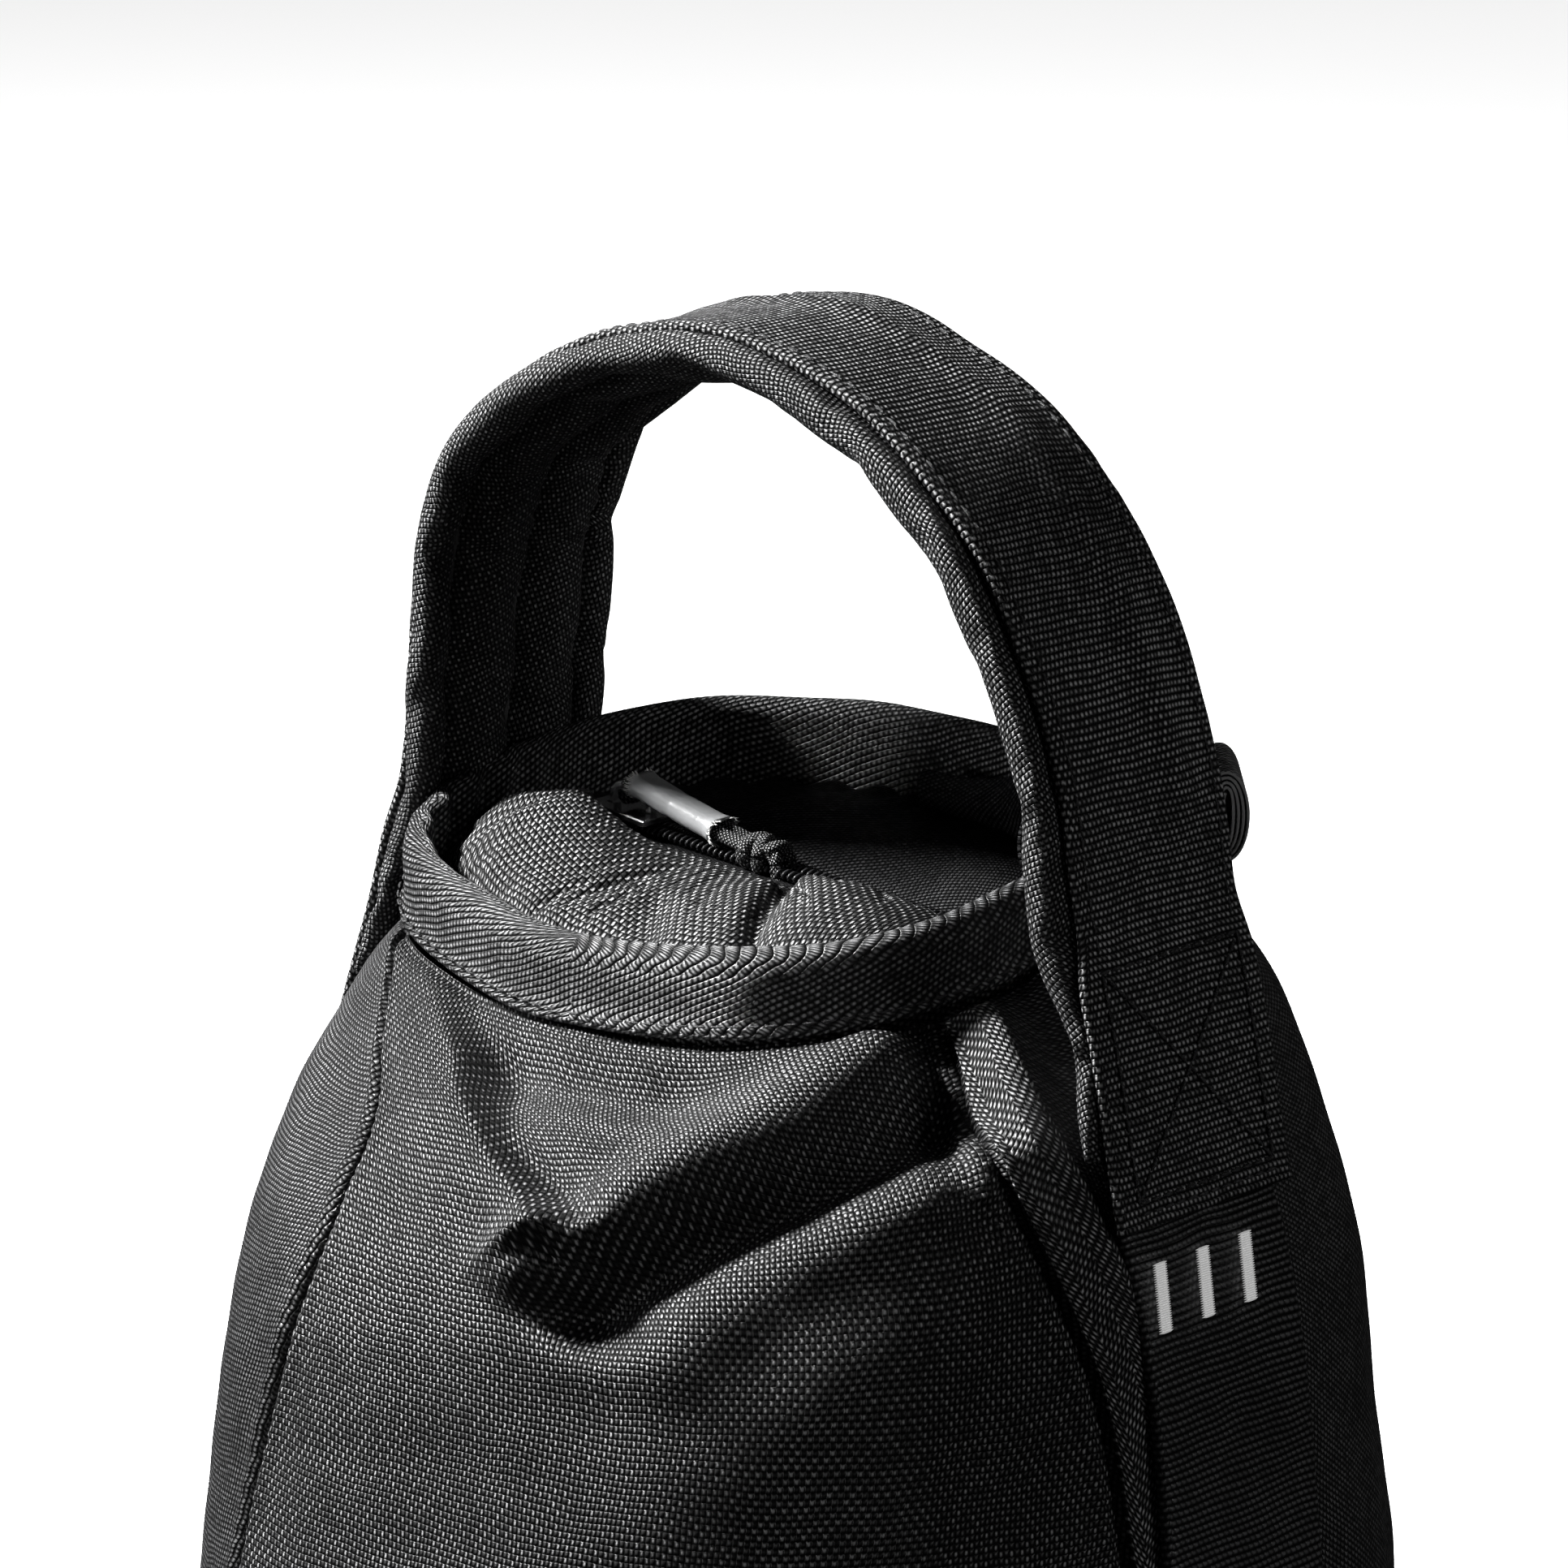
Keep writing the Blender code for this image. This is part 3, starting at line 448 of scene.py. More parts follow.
def stitch_frames(line, normals, length, pitch, radius):
    """Frames for stitches along a line of points on a surface."""
    reach = run_lengths(line)
    frames = []
    for place in np.arange(pitch / 2.0, reach[-1], pitch):
        origin = on_line(place, reach, line)
        normal = unit(on_line(place, reach, normals))
        along = unit(on_line(place + SMALL_STEP, reach, line) - origin)
        side = np.cross(normal, along)
        frames.append((origin, (along * (length / 2.0), side * radius, normal * radius)))
    return frames


def puffed(points, held, pressure, grow, cap):
    """The cloth grid as a cloth simulation leaves it, blown out along its normals between its held points."""
    rows, columns = points.shape[:2]
    trial = surface("trial", points * PUFF_SCALE, bpy.data.materials.new("trial"))
    pins = trial.vertex_groups.new(name="held")
    pins.add([int(i) for i in np.flatnonzero(held.ravel())], 1.0, "REPLACE")
    cloth = trial.modifiers.new("cloth", "CLOTH")
    cloth.settings.quality = 5
    cloth.settings.vertex_group_mass = "held"
    cloth.settings.use_pressure = True
    cloth.settings.uniform_pressure_force = pressure
    cloth.settings.shrink_min = -grow
    cloth.settings.effector_weights.gravity = 0.0
    cloth.point_cache.frame_start = 1
    cloth.point_cache.frame_end = PUFF_FRAMES
    for number in range(1, PUFF_FRAMES + 1):
        bpy.context.scene.frame_set(number)
    shape = trial.evaluated_get(bpy.context.evaluated_depsgraph_get()).to_mesh()
    moved = np.empty(rows * columns * 3, np.float32)
    shape.vertices.foreach_get("co", moved)
    bpy.context.scene.frame_set(1)
    bpy.data.objects.remove(trial)
    move = moved.reshape(points.shape) / PUFF_SCALE - points
    far = np.linalg.norm(move, axis=2, keepdims=True)
    return points + move * np.minimum(1.0, cap / np.maximum(far, 1e-9))


# ---------------------------------------------------------------- materials


class Graph:
    """A material's node tree, written as expressions."""

    def __init__(self, name):
        self.material = bpy.data.materials.new(name)
        self.material.use_nodes = True
        self.tree = self.material.node_tree
        self.shader = self.tree.nodes["Principled BSDF"]

    def node(self, kind, *values, **settings):
        made = self.tree.nodes.new(kind)
        for key, value in settings.items():
            setattr(made, key, value)
        for socket, value in zip(made.inputs, values):
            self.feed(socket, value)
        return made

    def feed(self, socket, value):
        if isinstance(value, bpy.types.NodeSocket):
            self.tree.links.new(value, socket)
        elif value is not None:
            socket.default_value = value

    def math(self, operation, *values):
        return self.node("ShaderNodeMath", *values, operation=operation).outputs[0]

    def times(self, first, *others):
        product = first
        for value in others:
            product = self.math("MULTIPLY", product, value)
        return product

    def plus(self, first, second):
        return self.math("ADD", first, second)

    def minus(self, first, second):
        return self.math("SUBTRACT", first, second)

    def over(self, value, pitch):
        return self.math("DIVIDE", value, pitch)

    def power(self, value, exponent):
        return self.math("POWER", value, exponent)

    def clamp_range(self, value, low, high, to_low=0.0, to_high=1.0):
        return self.node("ShaderNodeMapRange", value, low, high, to_low, to_high).outputs[0]

    def waves(self, value):
        """Rounded ridges of pitch 1."""
        return self.math("ABSOLUTE", self.math("SINE", self.math("MULTIPLY", value, math.pi)))

    def mix(self, share, low, high):
        made = self.tree.nodes.new("ShaderNodeMix")
        made.data_type = "RGBA"
        self.feed(made.inputs[0], share)
        self.feed(made.inputs[6], low)
        self.feed(made.inputs[7], high)
        return made.outputs[2]

    def place(self):
        """The two cloth lengths in metres, nudged so that the yarns wander a little."""
        cloth = self.node("ShaderNodeUVMap", uv_map="cloth").outputs[0]
        parts = self.node("ShaderNodeSeparateXYZ", cloth).outputs
        drift = self.noise(70.0, 1.0, vector=cloth)
        shift = self.clamp_range(drift, 0.3, 0.7, -0.00030, 0.00030)
        return self.plus(parts[0], shift), self.minus(parts[1], shift)

    def noise(self, scale, detail=3.0, roughness=0.5, vector=None):
        made = self.tree.nodes.new("ShaderNodeTexNoise")
        made.inputs["Scale"].default_value = scale
        made.inputs["Detail"].default_value = detail
        made.inputs["Roughness"].default_value = roughness
        if vector is None:
            vector = self.node("ShaderNodeTexCoord").outputs["Object"]
        self.feed(made.inputs["Vector"], vector)
        return made.outputs[0]

    def cell_noise(self, across, up):
        """A value of its own for each yarn crossing."""
        corner = (self.math("FLOOR", across), self.math("FLOOR", up))
        cell = self.node("ShaderNodeCombineXYZ", *corner).outputs[0]
        return self.node("ShaderNodeTexWhiteNoise", cell, noise_dimensions="2D").outputs[0]

    def bump(self, height, distance, strength=1.0, under=None):
        made = self.tree.nodes.new("ShaderNodeBump")
        made.inputs["Strength"].default_value = strength
        made.inputs["Distance"].default_value = distance
        self.feed(made.inputs["Height"], height)
        if under is not None:
            self.feed(made.inputs["Normal"], under)
        return made.outputs[0]

    def finish(self, colour, roughness, normal, specular=0.5, sheen=0.0, metallic=0.0):
        self.feed(self.shader.inputs["Base Color"], colour)
        self.feed(self.shader.inputs["Roughness"], roughness)
        self.feed(self.shader.inputs["Normal"], normal)
        self.shader.inputs["Specular IOR Level"].default_value = specular
        self.shader.inputs["Sheen Weight"].default_value = sheen
        self.shader.inputs["Sheen Roughness"].default_value = 0.4
        self.shader.inputs["Metallic"].default_value = metallic
        return self.material


def grey(value, blue=0.0):
    return (value, value, value + blue)


def yarn_material(graph, height, across, up, crown_highlight, relief, glint=0.5, specular=0.35):
    """Turns a height of yarns, 0 to 1, into cloth: dark between the yarns, glossier on them, with a painted
    highlight on their crowns.
    """
    cell = graph.cell_noise(across, up)
    worn = graph.clamp_range(graph.noise(38.0, 4.0, 0.6), 0.35, 0.75, 1.0 - WEAR, 1.0 + WEAR)
    fibres = graph.clamp_range(graph.noise(5200.0, 2.0), 0.3, 0.7, 0.7, 1.3)
    # contrast, sparkle and lit paint a highlight onto the yarn crowns: a painted highlight, varied by crossing
    # and by real wear and fibres.
    contrast = graph.power(height, YARN_CONTRAST)
    sparkle = graph.clamp_range(cell, 0.0, 1.0, 1.0 - glint, 1.0 + glint)
    lit = graph.times(contrast, sparkle, worn, fibres)
    colour = graph.mix(lit, (*BETWEEN_YARNS, 1.0), (*crown_highlight, 1.0))
    roughness = graph.clamp_range(graph.times(cell, worn), 0.0, 1.2, 0.50, 0.30)
    return graph.finish(colour, roughness, graph.bump(height, relief), specular)


def plain_weave(name, pitch_across, pitch_up, crown_highlight, relief, turn=0.0, weft=0.75, **looks):
    """Over-and-under weave whose upright yarns show as staggered dashes."""
    graph = Graph(name)
    u, v = graph.place()
    if turn:
        u, v = turned(graph, u, v, turn)
    across = graph.over(u, pitch_across)
    up = graph.over(v, pitch_up)
    side = graph.waves(across)
    rise = graph.waves(up)
    swings = [graph.math("SINE", graph.times(place, math.pi)) for place in (across, up)]
    on_top = graph.math("GREATER_THAN", graph.times(*swings), 0.0)
    under = graph.minus(1.0, on_top)
    warp = graph.times(graph.power(side, 0.8), graph.power(rise, 0.5))
    cross = graph.times(graph.power(rise, 0.8), graph.power(side, 0.5), weft)
    height = graph.plus(graph.times(on_top, warp), graph.times(under, cross))
    return yarn_material(graph, height, across, up, crown_highlight, relief, **looks)


def turned(graph, u, v, turn):
    cosine, sine = math.cos(turn), math.sin(turn)
    across = graph.plus(graph.times(u, cosine), graph.times(v, sine))
    up = graph.minus(graph.times(v, cosine), graph.times(u, sine))
    return across, up


def row_weave(name, row_pitch, dot_pitch, crown_highlight, relief, turn=0.0, dots=0.6, herring=0.0, **looks):
    """Raised rows of beads: twill when turned, ribbed webbing when straight, herringbone when it zigzags."""
    graph = Graph(name)
    u, v = graph.place()
    if herring:
        v = graph.plus(v, graph.math("PINGPONG", u, herring))
    if turn:
        u, v = turned(graph, u, v, turn)
    row = graph.over(v, row_pitch)
    shifted = graph.times(graph.math("FLOOR", row), 0.5)
    bead = graph.plus(graph.over(u, dot_pitch), shifted)
    beads = graph.plus(graph.times(graph.waves(bead), dots), 1.0 - dots)
    height = graph.times(graph.power(graph.waves(row), 0.7), beads)
    return yarn_material(graph, height, bead, row, crown_highlight, relief, **looks)


# Twisted thread, darker between its twists: painted shade. glow is painted light, an emission that makes the
# thread look lit though it is no lamp.
def thread_material(name, colour, shade, glow=0.0):
    graph = Graph(name)
    twist = graph.waves(graph.times(graph.noise(2600.0, 1.0), 6.0))
    fibres = graph.noise(9000.0, 2.0)
    mixed = graph.mix(graph.times(twist, fibres), (*shade, 1.0), (*colour, 1.0))
    graph.shader.inputs["Emission Color"].default_value = (1.0, 1.0, 1.0, 1.0)
    graph.shader.inputs["Emission Strength"].default_value = glow
    return graph.finish(mixed, 0.42, graph.bump(twist, 0.00008))


def cord_material(name, crown_highlight):
    """Braid: two sets of slanting strands."""
    graph = Graph(name)
    u, v = graph.place()
    first = graph.waves(graph.over(graph.plus(u, v), BRAID_PITCH))
    second = graph.waves(graph.over(graph.minus(u, v), BRAID_PITCH))
    return yarn_material(graph, graph.times(first, second), u, v, crown_highlight, 0.00025)


def solid_material(name, colour, shade, roughness, grain, relief, metallic=0.0):
    """Moulded, plated or poured stuff: a blotchy colour with a fine grain."""
    graph = Graph(name)
    mixed = graph.mix(graph.noise(grain * 0.1, 3.0), (*shade, 1.0), (*colour, 1.0))
    rough = graph.clamp_range(graph.noise(grain * 0.4, 4.0), 0.3, 0.7, roughness * 0.8, roughness * 1.2)
    return graph.finish(mixed, rough, graph.bump(graph.noise(grain, 3.0), relief), metallic=metallic)


def make_materials():
    """Weaves are given by their two pitches, the grey of their yarn crowns, which is a painted highlight on
    the black cloth, and their relief.
    """
    steep, flat, slant = math.radians(78.0), math.radians(22.0), math.radians(40.0)
    body, lid = {"weft": 0.60, "glint": 0.75}, {"weft": 0.55, "glint": 0.75}
    collar, side = {"turn": flat, "dots": 0.55, "glint": 0.7}, {"turn": steep, "dots": 0.65, "glint": 0.7}
    zigzag = {"dots": 0.8, "herring": 0.0040, "glint": 0.7}
    matt = {"turn": slant, "dots": 0.45, "specular": 0.06}
    return {
        "weave": plain_weave("basket_weave", 0.00086, 0.00104, grey(0.440, 0.005), 0.00030, **body),
        "coarse": plain_weave("coarse_weave", 0.00090, 0.00125, grey(0.640, 0.005), 0.00034, **lid),
        "twill": row_weave("twill", 0.00104, 0.00108, grey(0.400, 0.005), 0.00030, **collar),
        "side": row_weave("side_twill", 0.00112, 0.00098, grey(0.170, 0.003), 0.00030, **side),
        "edging": row_weave("edging", 0.00108, 0.00110, grey(0.620, 0.005), 0.00030, **zigzag),
        "webbing": row_weave("webbing", 0.00116, 0.00104, grey(0.560, 0.004), 0.00030, dots=0.75, glint=0.7),
        "ribbed": row_weave(
            "ribbed_webbing", 0.00118, 0.00124, grey(0.150, 0.003), 0.00030, dots=0.35, glint=0.4
        ),
        "tail": row_weave("tail_webbing", 0.00090, 0.00090, grey(0.800, 0.005), 0.00024, dots=0.4),
        "cover": plain_weave(
            "cover_cloth", 0.00078, 0.00088, grey(0.560, 0.004), 0.00026, turn=0.35, glint=0.6
        ),
        # The lining is nearly black and matt: painted shade, a dark cloth for the lid's back half and the
        # flap, which lie in shade inside the mouth.
        "shade_lining": row_weave("shade_lining_twill", 0.00090, 0.00095, grey(0.060, 0.002), 0.00024, **matt),
        "tape": row_weave("zipper_tape", 0.00055, 0.00060, grey(0.03, 0.002), 0.00012, turn=0.6),
        "cord": cord_material("braided_cord", grey(0.600, 0.003)),
        # Light grey for the rolled webbing's rims: a painted highlight where the edges of its turns catch the
        # light.
        "rim_highlight": solid_material("rim_highlight_webbing", grey(0.42), grey(0.20), 0.8, 2500.0, 0.0001),
        "thread": thread_material("black_thread", grey(0.12, 0.003), grey(0.010, 0.001)),
        # The white thread glows: painted light, so that the mark reads white where the strap lies in shade.
        "white": thread_material("white_thread", grey(0.92, -0.01), grey(0.62, -0.01), glow=0.30),
        "nylon": solid_material("nylon", grey(0.03, 0.002), grey(0.018, 0.001), 0.32, 900.0, 0.00003),
        "metal": solid_material("metal", grey(0.78, 0.01), grey(0.60, 0.01), 0.22, 1500.0, 0.00002, 1.0),
        "sleeve": solid_material("sleeve", (0.46, 0.465, 0.47), (0.32, 0.325, 0.33), 0.40, 1300.0, 0.00006),
        "fray": solid_material("frayed_rim", grey(0.80, -0.02), grey(0.55, -0.01), 0.6, 2500.0, 0.0001),
        "foam": solid_material("foam", grey(0.10), grey(0.06), 0.9, 1200.0, 0.0004),
        "liner": solid_material("liner", grey(0.56, -0.03), grey(0.44, -0.02), 0.6, 700.0, 0.0002),
        "sand": solid_material("sand", (0.52, 0.42, 0.28), (0.36, 0.28, 0.18), 0.9, 2200.0, 0.0006),
        "board": solid_material("stiffener", grey(0.22), grey(0.15), 0.6, 600.0, 0.0001),
    }


# ---------------------------------------------------------------- the bag's body


def superellipse(azimuth, half_x, half_y, power):
    along = np.sin(azimuth)
    across = -np.cos(azimuth)
    reach = (np.abs(along / half_x) ** power + np.abs(across / half_y) ** power) ** (-1.0 / power)
    return along * reach, across * reach


def outward(azimuth):
    """Level unit vectors at these azimuths."""
    return np.stack([np.sin(azimuth), -np.cos(azimuth), np.zeros_like(azimuth)], axis=-1)


def turn_from(azimuth, centre):
    """Degrees of azimuth from a centre, between -180 and 180."""
    return (np.degrees(azimuth) - centre + 180.0) % 360.0 - 180.0


def corner_bulge(azimuth):
    """The mouth is squarer at its front left corner."""
    return 0.0060 * hump(turn_from(azimuth, -62.0), 20.0)


def rim_lift(azimuth):
    return 0.0036 * hump(turn_from(azimuth, -88.0), 40.0) - 0.0012 * hump(turn_from(azimuth, -8.0), 28.0)


def plain_body(azimuth, level):
    """Outer surface of the filled bag without folds; level is 0 at the base seam and 1 at the collar seam."""
    section = curve(BODY_SECTIONS, level)
    power = SECTION_POWER + (COLLAR_POWER - SECTION_POWER) * level
    x, y = superellipse(azimuth, section[..., 1], section[..., 2], power)
    push = corner_bulge(azimuth) * smooth_step((level - 0.84) / 0.16)
    x = x + np.sin(azimuth) * push
    y = y - np.cos(azimuth) * push
    lift = RIM_TILT * y * smooth_step((level - TILT_START) / (1.0 - TILT_START))
    return np.stack([x + section[..., 3], y, section[..., 0] + lift], axis=-1)


def front_folds(turn, level):
    """How far the cloth stands out, and slides down, at the folds under the mouth. turn is in degrees."""
    across = turn * DEGREE_LENGTH
    up = level * CLOTH_HEIGHT

    def line(stops):
        return beside(across, up, [(a * DEGREE_LENGTH, b * CLOTH_HEIGHT) for a, b in stops])

    off, share = line(
        [(15, 0.668), (19, 0.705), (24, 0.750), (31, 0.797), (38, 0.832), (46, 0.860), (54, 0.882)]
        + [(62, 0.905), (69, 0.925)]
    )
    depth = smooth_step(share / 0.16) * smooth_step((1.0 - share) / 0.14)
    width = np.where(off > 0.0, 0.0066, 0.0070)
    out = -0.0075 * depth * hump(off - 0.0008, width)
    out += 0.0048 * depth * hump(off - 0.0150, 0.0066)
    out += 0.0016 * depth * hump(off + 0.0150, 0.0070)
    slide = 0.0010 * depth * hump(off - 0.0120, 0.0060)

    off, share = line(
        [(-52, 0.985), (-34, 0.958), (-15, 0.922), (-4, 0.872), (6, 0.826), (12, 0.795), (15, 0.775)]
    )
    fade = smooth_step(share / 0.35) * smooth_step((1.0 - share) / 0.1)
    out += 0.0044 * fade * np.where(off > 0.0, hump(off, 0.0046), hump(off, 0.0110))
    out -= 0.0022 * fade * hump(off - 0.0090, 0.0052)

    def spot(turn_at, level_at, size):
        return hump(np.hypot(across - turn_at * DEGREE_LENGTH, up - level_at * CLOTH_HEIGHT), size)

    notch = spot(15.0, 0.766, 0.0020)
    out -= 0.0018 * notch

    off, share = line([(-20, 0.952), (0, 0.945), (20, 0.945), (42, 0.952)])
    fade = smooth_step(share / 0.3) * smooth_step((1.0 - share) / 0.3)
    out -= 0.0040 * fade * hump(off, 0.0052)
    out += 0.0014 * fade * hump(off + 0.0125, 0.0060)

    off, share = line([(66, 0.98), (62, 0.90), (61, 0.82), (63, 0.74)])
    fade = smooth_step((1.0 - share) / 0.6)
    out -= 0.0026 * fade * hump(off, 0.0040)

    for turn_at, level_at, size, deep in SOFT_DENTS:
        out -= deep * spot(turn_at, level_at, size)
    return out, slide


def body_skin(azimuth, level, depth=0.0):
    """The bag's surface with its folds, as a grid, or that surface moved in by a depth."""
    points = plain_body(azimuth, level)
    normals = grid_normals(points)
    out = np.zeros(level.shape)
    slide = np.zeros(level.shape)
    for centre, strength in ((0.0, 1.0), (180.0, 0.35)):
        stands, slides = front_folds(turn_from(azimuth, centre), level)
        near = np.abs(turn_from(azimuth, centre + 8.0)) < 90.0
        out += np.where(near, stands, 0.0) * strength
        slide += np.where(near, slides, 0.0) * strength
    free = smooth_step((np.abs(np.abs(turn_from(azimuth, 0.0)) - 90.0) - 12.0) / 8.0)
    low = smooth_step(level / 0.12)
    out += lumps(points, 0.045, 3) * 0.0007 * low * free
    out += lumps(points, 0.016, 5) * 0.00018 * low * free
    out -= 0.0012 * smooth_step((level - 0.975) / 0.02)
    for centre in (0.0, 180.0):
        beyond = turn_from(azimuth, centre) - curve(RIGHT_SEAM, level)
        upper = smooth_step((level - 0.55) / 0.2) * smooth_step((1.0 - level) / 0.06)
        out += 0.0030 * hump(beyond - 6.5, 4.5) * upper
        out -= 0.0012 * hump(beyond - 15.0, 4.5) * smooth_step((level - 0.6) / 0.2)
    upward = unit(np.gradient(points, axis=0))
    return points + normals * (out - depth)[..., None] - upward * slide[..., None]


def seam(stops, level):
    return np.radians(curve(stops, level))


def make_body(paint):
    levels = np.linspace(0.0, 1.0, 231)
    left_turn, right_turn = seam(LEFT_SEAM, levels), seam(RIGHT_SEAM, levels)
    half = math.pi
    panels = [
        ("front_cloth", "front_panel", left_turn, right_turn, 190, "weave", "basket_weave"),
        ("right_side_cloth", "right_gusset", right_turn, left_turn + half, 110, "side", "twill"),
        ("back_cloth", "back_panel", left_turn + half, right_turn + half, 150, "weave", "basket_weave"),
        ("left_side_cloth", "left_gusset", right_turn + half, left_turn + 2.0 * half, 110, "side", "twill"),
    ]
    for name, node, start, end, columns, cloth, slot in panels:
        share = np.linspace(0.0, 1.0, columns)
        azimuth = start[:, None] + (end - start)[:, None] * share
        level = np.broadcast_to(levels[:, None], azimuth.shape)
        points = body_skin(azimuth, level)
        normals = grid_normals(points)
        reach = np.linalg.norm(np.diff(points, axis=1), axis=2)
        from_start = np.concatenate([np.zeros((len(points), 1)), np.cumsum(reach, axis=1)], axis=1)
        edge = np.minimum(from_start, from_start[:, -1:] - from_start)
        turned_in = 0.0010 * hump(edge, 0.0011) - 0.0004 * hump(edge - 0.0028, 0.0014)
        pucker = 0.00016 * np.sin(levels[:, None] * 0.23 / 0.0034 * math.tau) * hump(edge, 0.0050)
        points = points - normals * (turned_in + pucker)[..., None]
        lengths = cloth_lengths(plain_body(azimuth, level))
        piece = surface(name, points, paint[cloth], lengths, thickness=CLOTH)
        add(piece, "bag", slot, node)

    for label, turned in (("right", 0.0), ("left", half)):
        levels = np.linspace(0.40, 0.985, 180)
        first = seam(RIGHT_SEAM, levels) + turned + math.radians(STRIP_START)
        azimuth = first[:, None] + np.radians(STRIP_WIDTH) * np.linspace(0.0, 1.0, 14)
        level = np.broadcast_to(levels[:, None], azimuth.shape)
        points = body_skin(azimuth, level, -0.0012)
        piece = surface(f"{label}_seam_webbing", points, paint["edging"], thickness=0.0009)
        add(piece, "bag", "webbing")

    rings = []
    around = np.linspace(0.0, math.tau, 160, endpoint=False)
    for height, grow in BASE_EDGE:
        x, y = superellipse(around, BASE_HALF + grow, BASE_HALF + grow, SECTION_POWER)
        rings.append(np.stack([x, y, np.full_like(x, height)], axis=1))
    base = closed_surface("base_cloth", np.array(rings), paint["weave"])
    add(base, "bag", "basket_weave", "base_panel")


def add(piece, body, slot, *nodes):
    """Puts a piece on its body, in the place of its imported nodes."""
    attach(piece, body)
    if nodes:
        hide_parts(*nodes)
    return piece


def make_filling(paint):
    """The inner bag and the sand, which follow the outer cloth's folds from inside."""
    azimuth = full_turn(120)
    levels = np.linspace(0.03, 0.78, 40)
    azimuths, heights = np.meshgrid(azimuth, levels)
    skin = body_skin(azimuths, heights, 0.0034)
    neck = []
    for radius, height in LINER_NECK:
        gather = radius + 0.0008 * np.sin(azimuth * 14.0)
        neck.append(outward(azimuth) * gather[:, None] + UP * height)
    points = np.concatenate([skin, np.array(neck)])
    liner = surface("filler_cloth", points, paint["liner"], wrap=True, thickness=0.0005)
    add(liner, "bag", "liner", "filler_bag")

    inner = body_skin(azimuths, heights, 0.0044)[:-2]
    heap = ((0.62, 0.152), (0.30, 0.154))
    top = [inner[-1] * (share, share, 0.0) + UP * height for share, height in heap]
    sand = closed_surface("sand", np.concatenate([inner, np.array(top)]), paint["sand"])
    add(sand, "bag", "sand", "sand_fill")
    give(frame["nodes"]["filler_tie"], paint["cord"])


def give(node, material):
    node.data.materials.clear()
    node.data.materials.append(material)


# ---------------------------------------------------------------- collar, lid and flap


def collar_line(azimuth, grow, height):
    """Points of the collar: grow is outwards from its outer face, height above its seam."""
    x, y = superellipse(azimuth, COLLAR_HALF_X + grow, COLLAR_HALF_Y + grow, COLLAR_POWER)
    push = corner_bulge(azimuth)
    x = x + np.sin(azimuth) * push
    y = y - np.cos(azimuth) * push
    z = SEAM_HEIGHT + height + RIM_TILT * y + rim_lift(azimuth)
    return np.stack([x + COLLAR_CENTRE, y, z], axis=-1)


def make_collar(paint):
    azimuth = full_turn(360)
    radius = COLLAR_WALL / 2.0
    top = COLLAR_HEIGHT - radius
    profile = [(0.0002, 0.0004), (0.0011, 0.0008), (0.0012, 0.0016), (0.0007, 0.0023)]
    profile += [(0.0004, height) for height in np.linspace(0.0034, top - 0.001, 6)]
    over_top = np.linspace(0.0, math.pi, 11)
    profile += [(radius * math.cos(a) - radius, top + radius * math.sin(a)) for a in over_top]
    profile += [(-COLLAR_WALL, height) for height in np.linspace(top - 0.001, -0.0035, 10)]
    rows = []
    away = outward(azimuth)
    gathered = hump(turn_from(azimuth, -72.0), 16.0)
    for grow, height in profile:
        line = collar_line(azimuth, grow, height)
        inside = 1.0 if grow < -radius else 0.25
        wave = gathered * np.sin(azimuth * 46.0 + height * 260.0) * 0.0009 * inside
        line = line + away * (wave + lumps(line, 0.020, 11) * 0.00035)[:, None]
        line[:, 2] += lumps(line * (1.0, 1.0, 0.0), 0.030, 12) * 0.00045
        rows.append(line)
    collar = surface("collar_cloth", np.array(rows), paint["twill"], wrap=True, thickness=COLLAR_CLOTH)
    add(collar, "bag", "twill", "collar_band")

    strip = []
    for offset, height in ((-0.0014, 0.0008), (-0.0014, top), (-0.0030, top), (-0.0030, 0.0008)):
        strip.append(collar_line(azimuth, offset, height))
    strip.append(strip[0])
    board = surface("collar_board", np.array(strip), paint["board"], wrap=True)
    add(board, "bag", "stiffener", "collar_stiffener")

    line = collar_line(azimuth, 0.0012, 0.0028)
    frames = stitch_frames(line, away, 0.0024, 0.0030, 0.00022)
    add(stamped("collar_stitches", *stitch_shape(), frames, paint["thread"]), "bag", "black_thread")


def zip_point(along, across, above=0.0):
    """Points beside the zip: along it from the slider, across it, and above its tape."""
    along, across, above = np.broadcast_arrays(along, across, above)
    x = ZIP_START[0] + along * math.cos(ZIP_SLOPE) + above * math.sin(ZIP_SLOPE)
    z = ZIP_START[2] - along * math.sin(ZIP_SLOPE) + above * math.cos(ZIP_SLOPE)
    return np.stack([x, across, z], axis=-1)


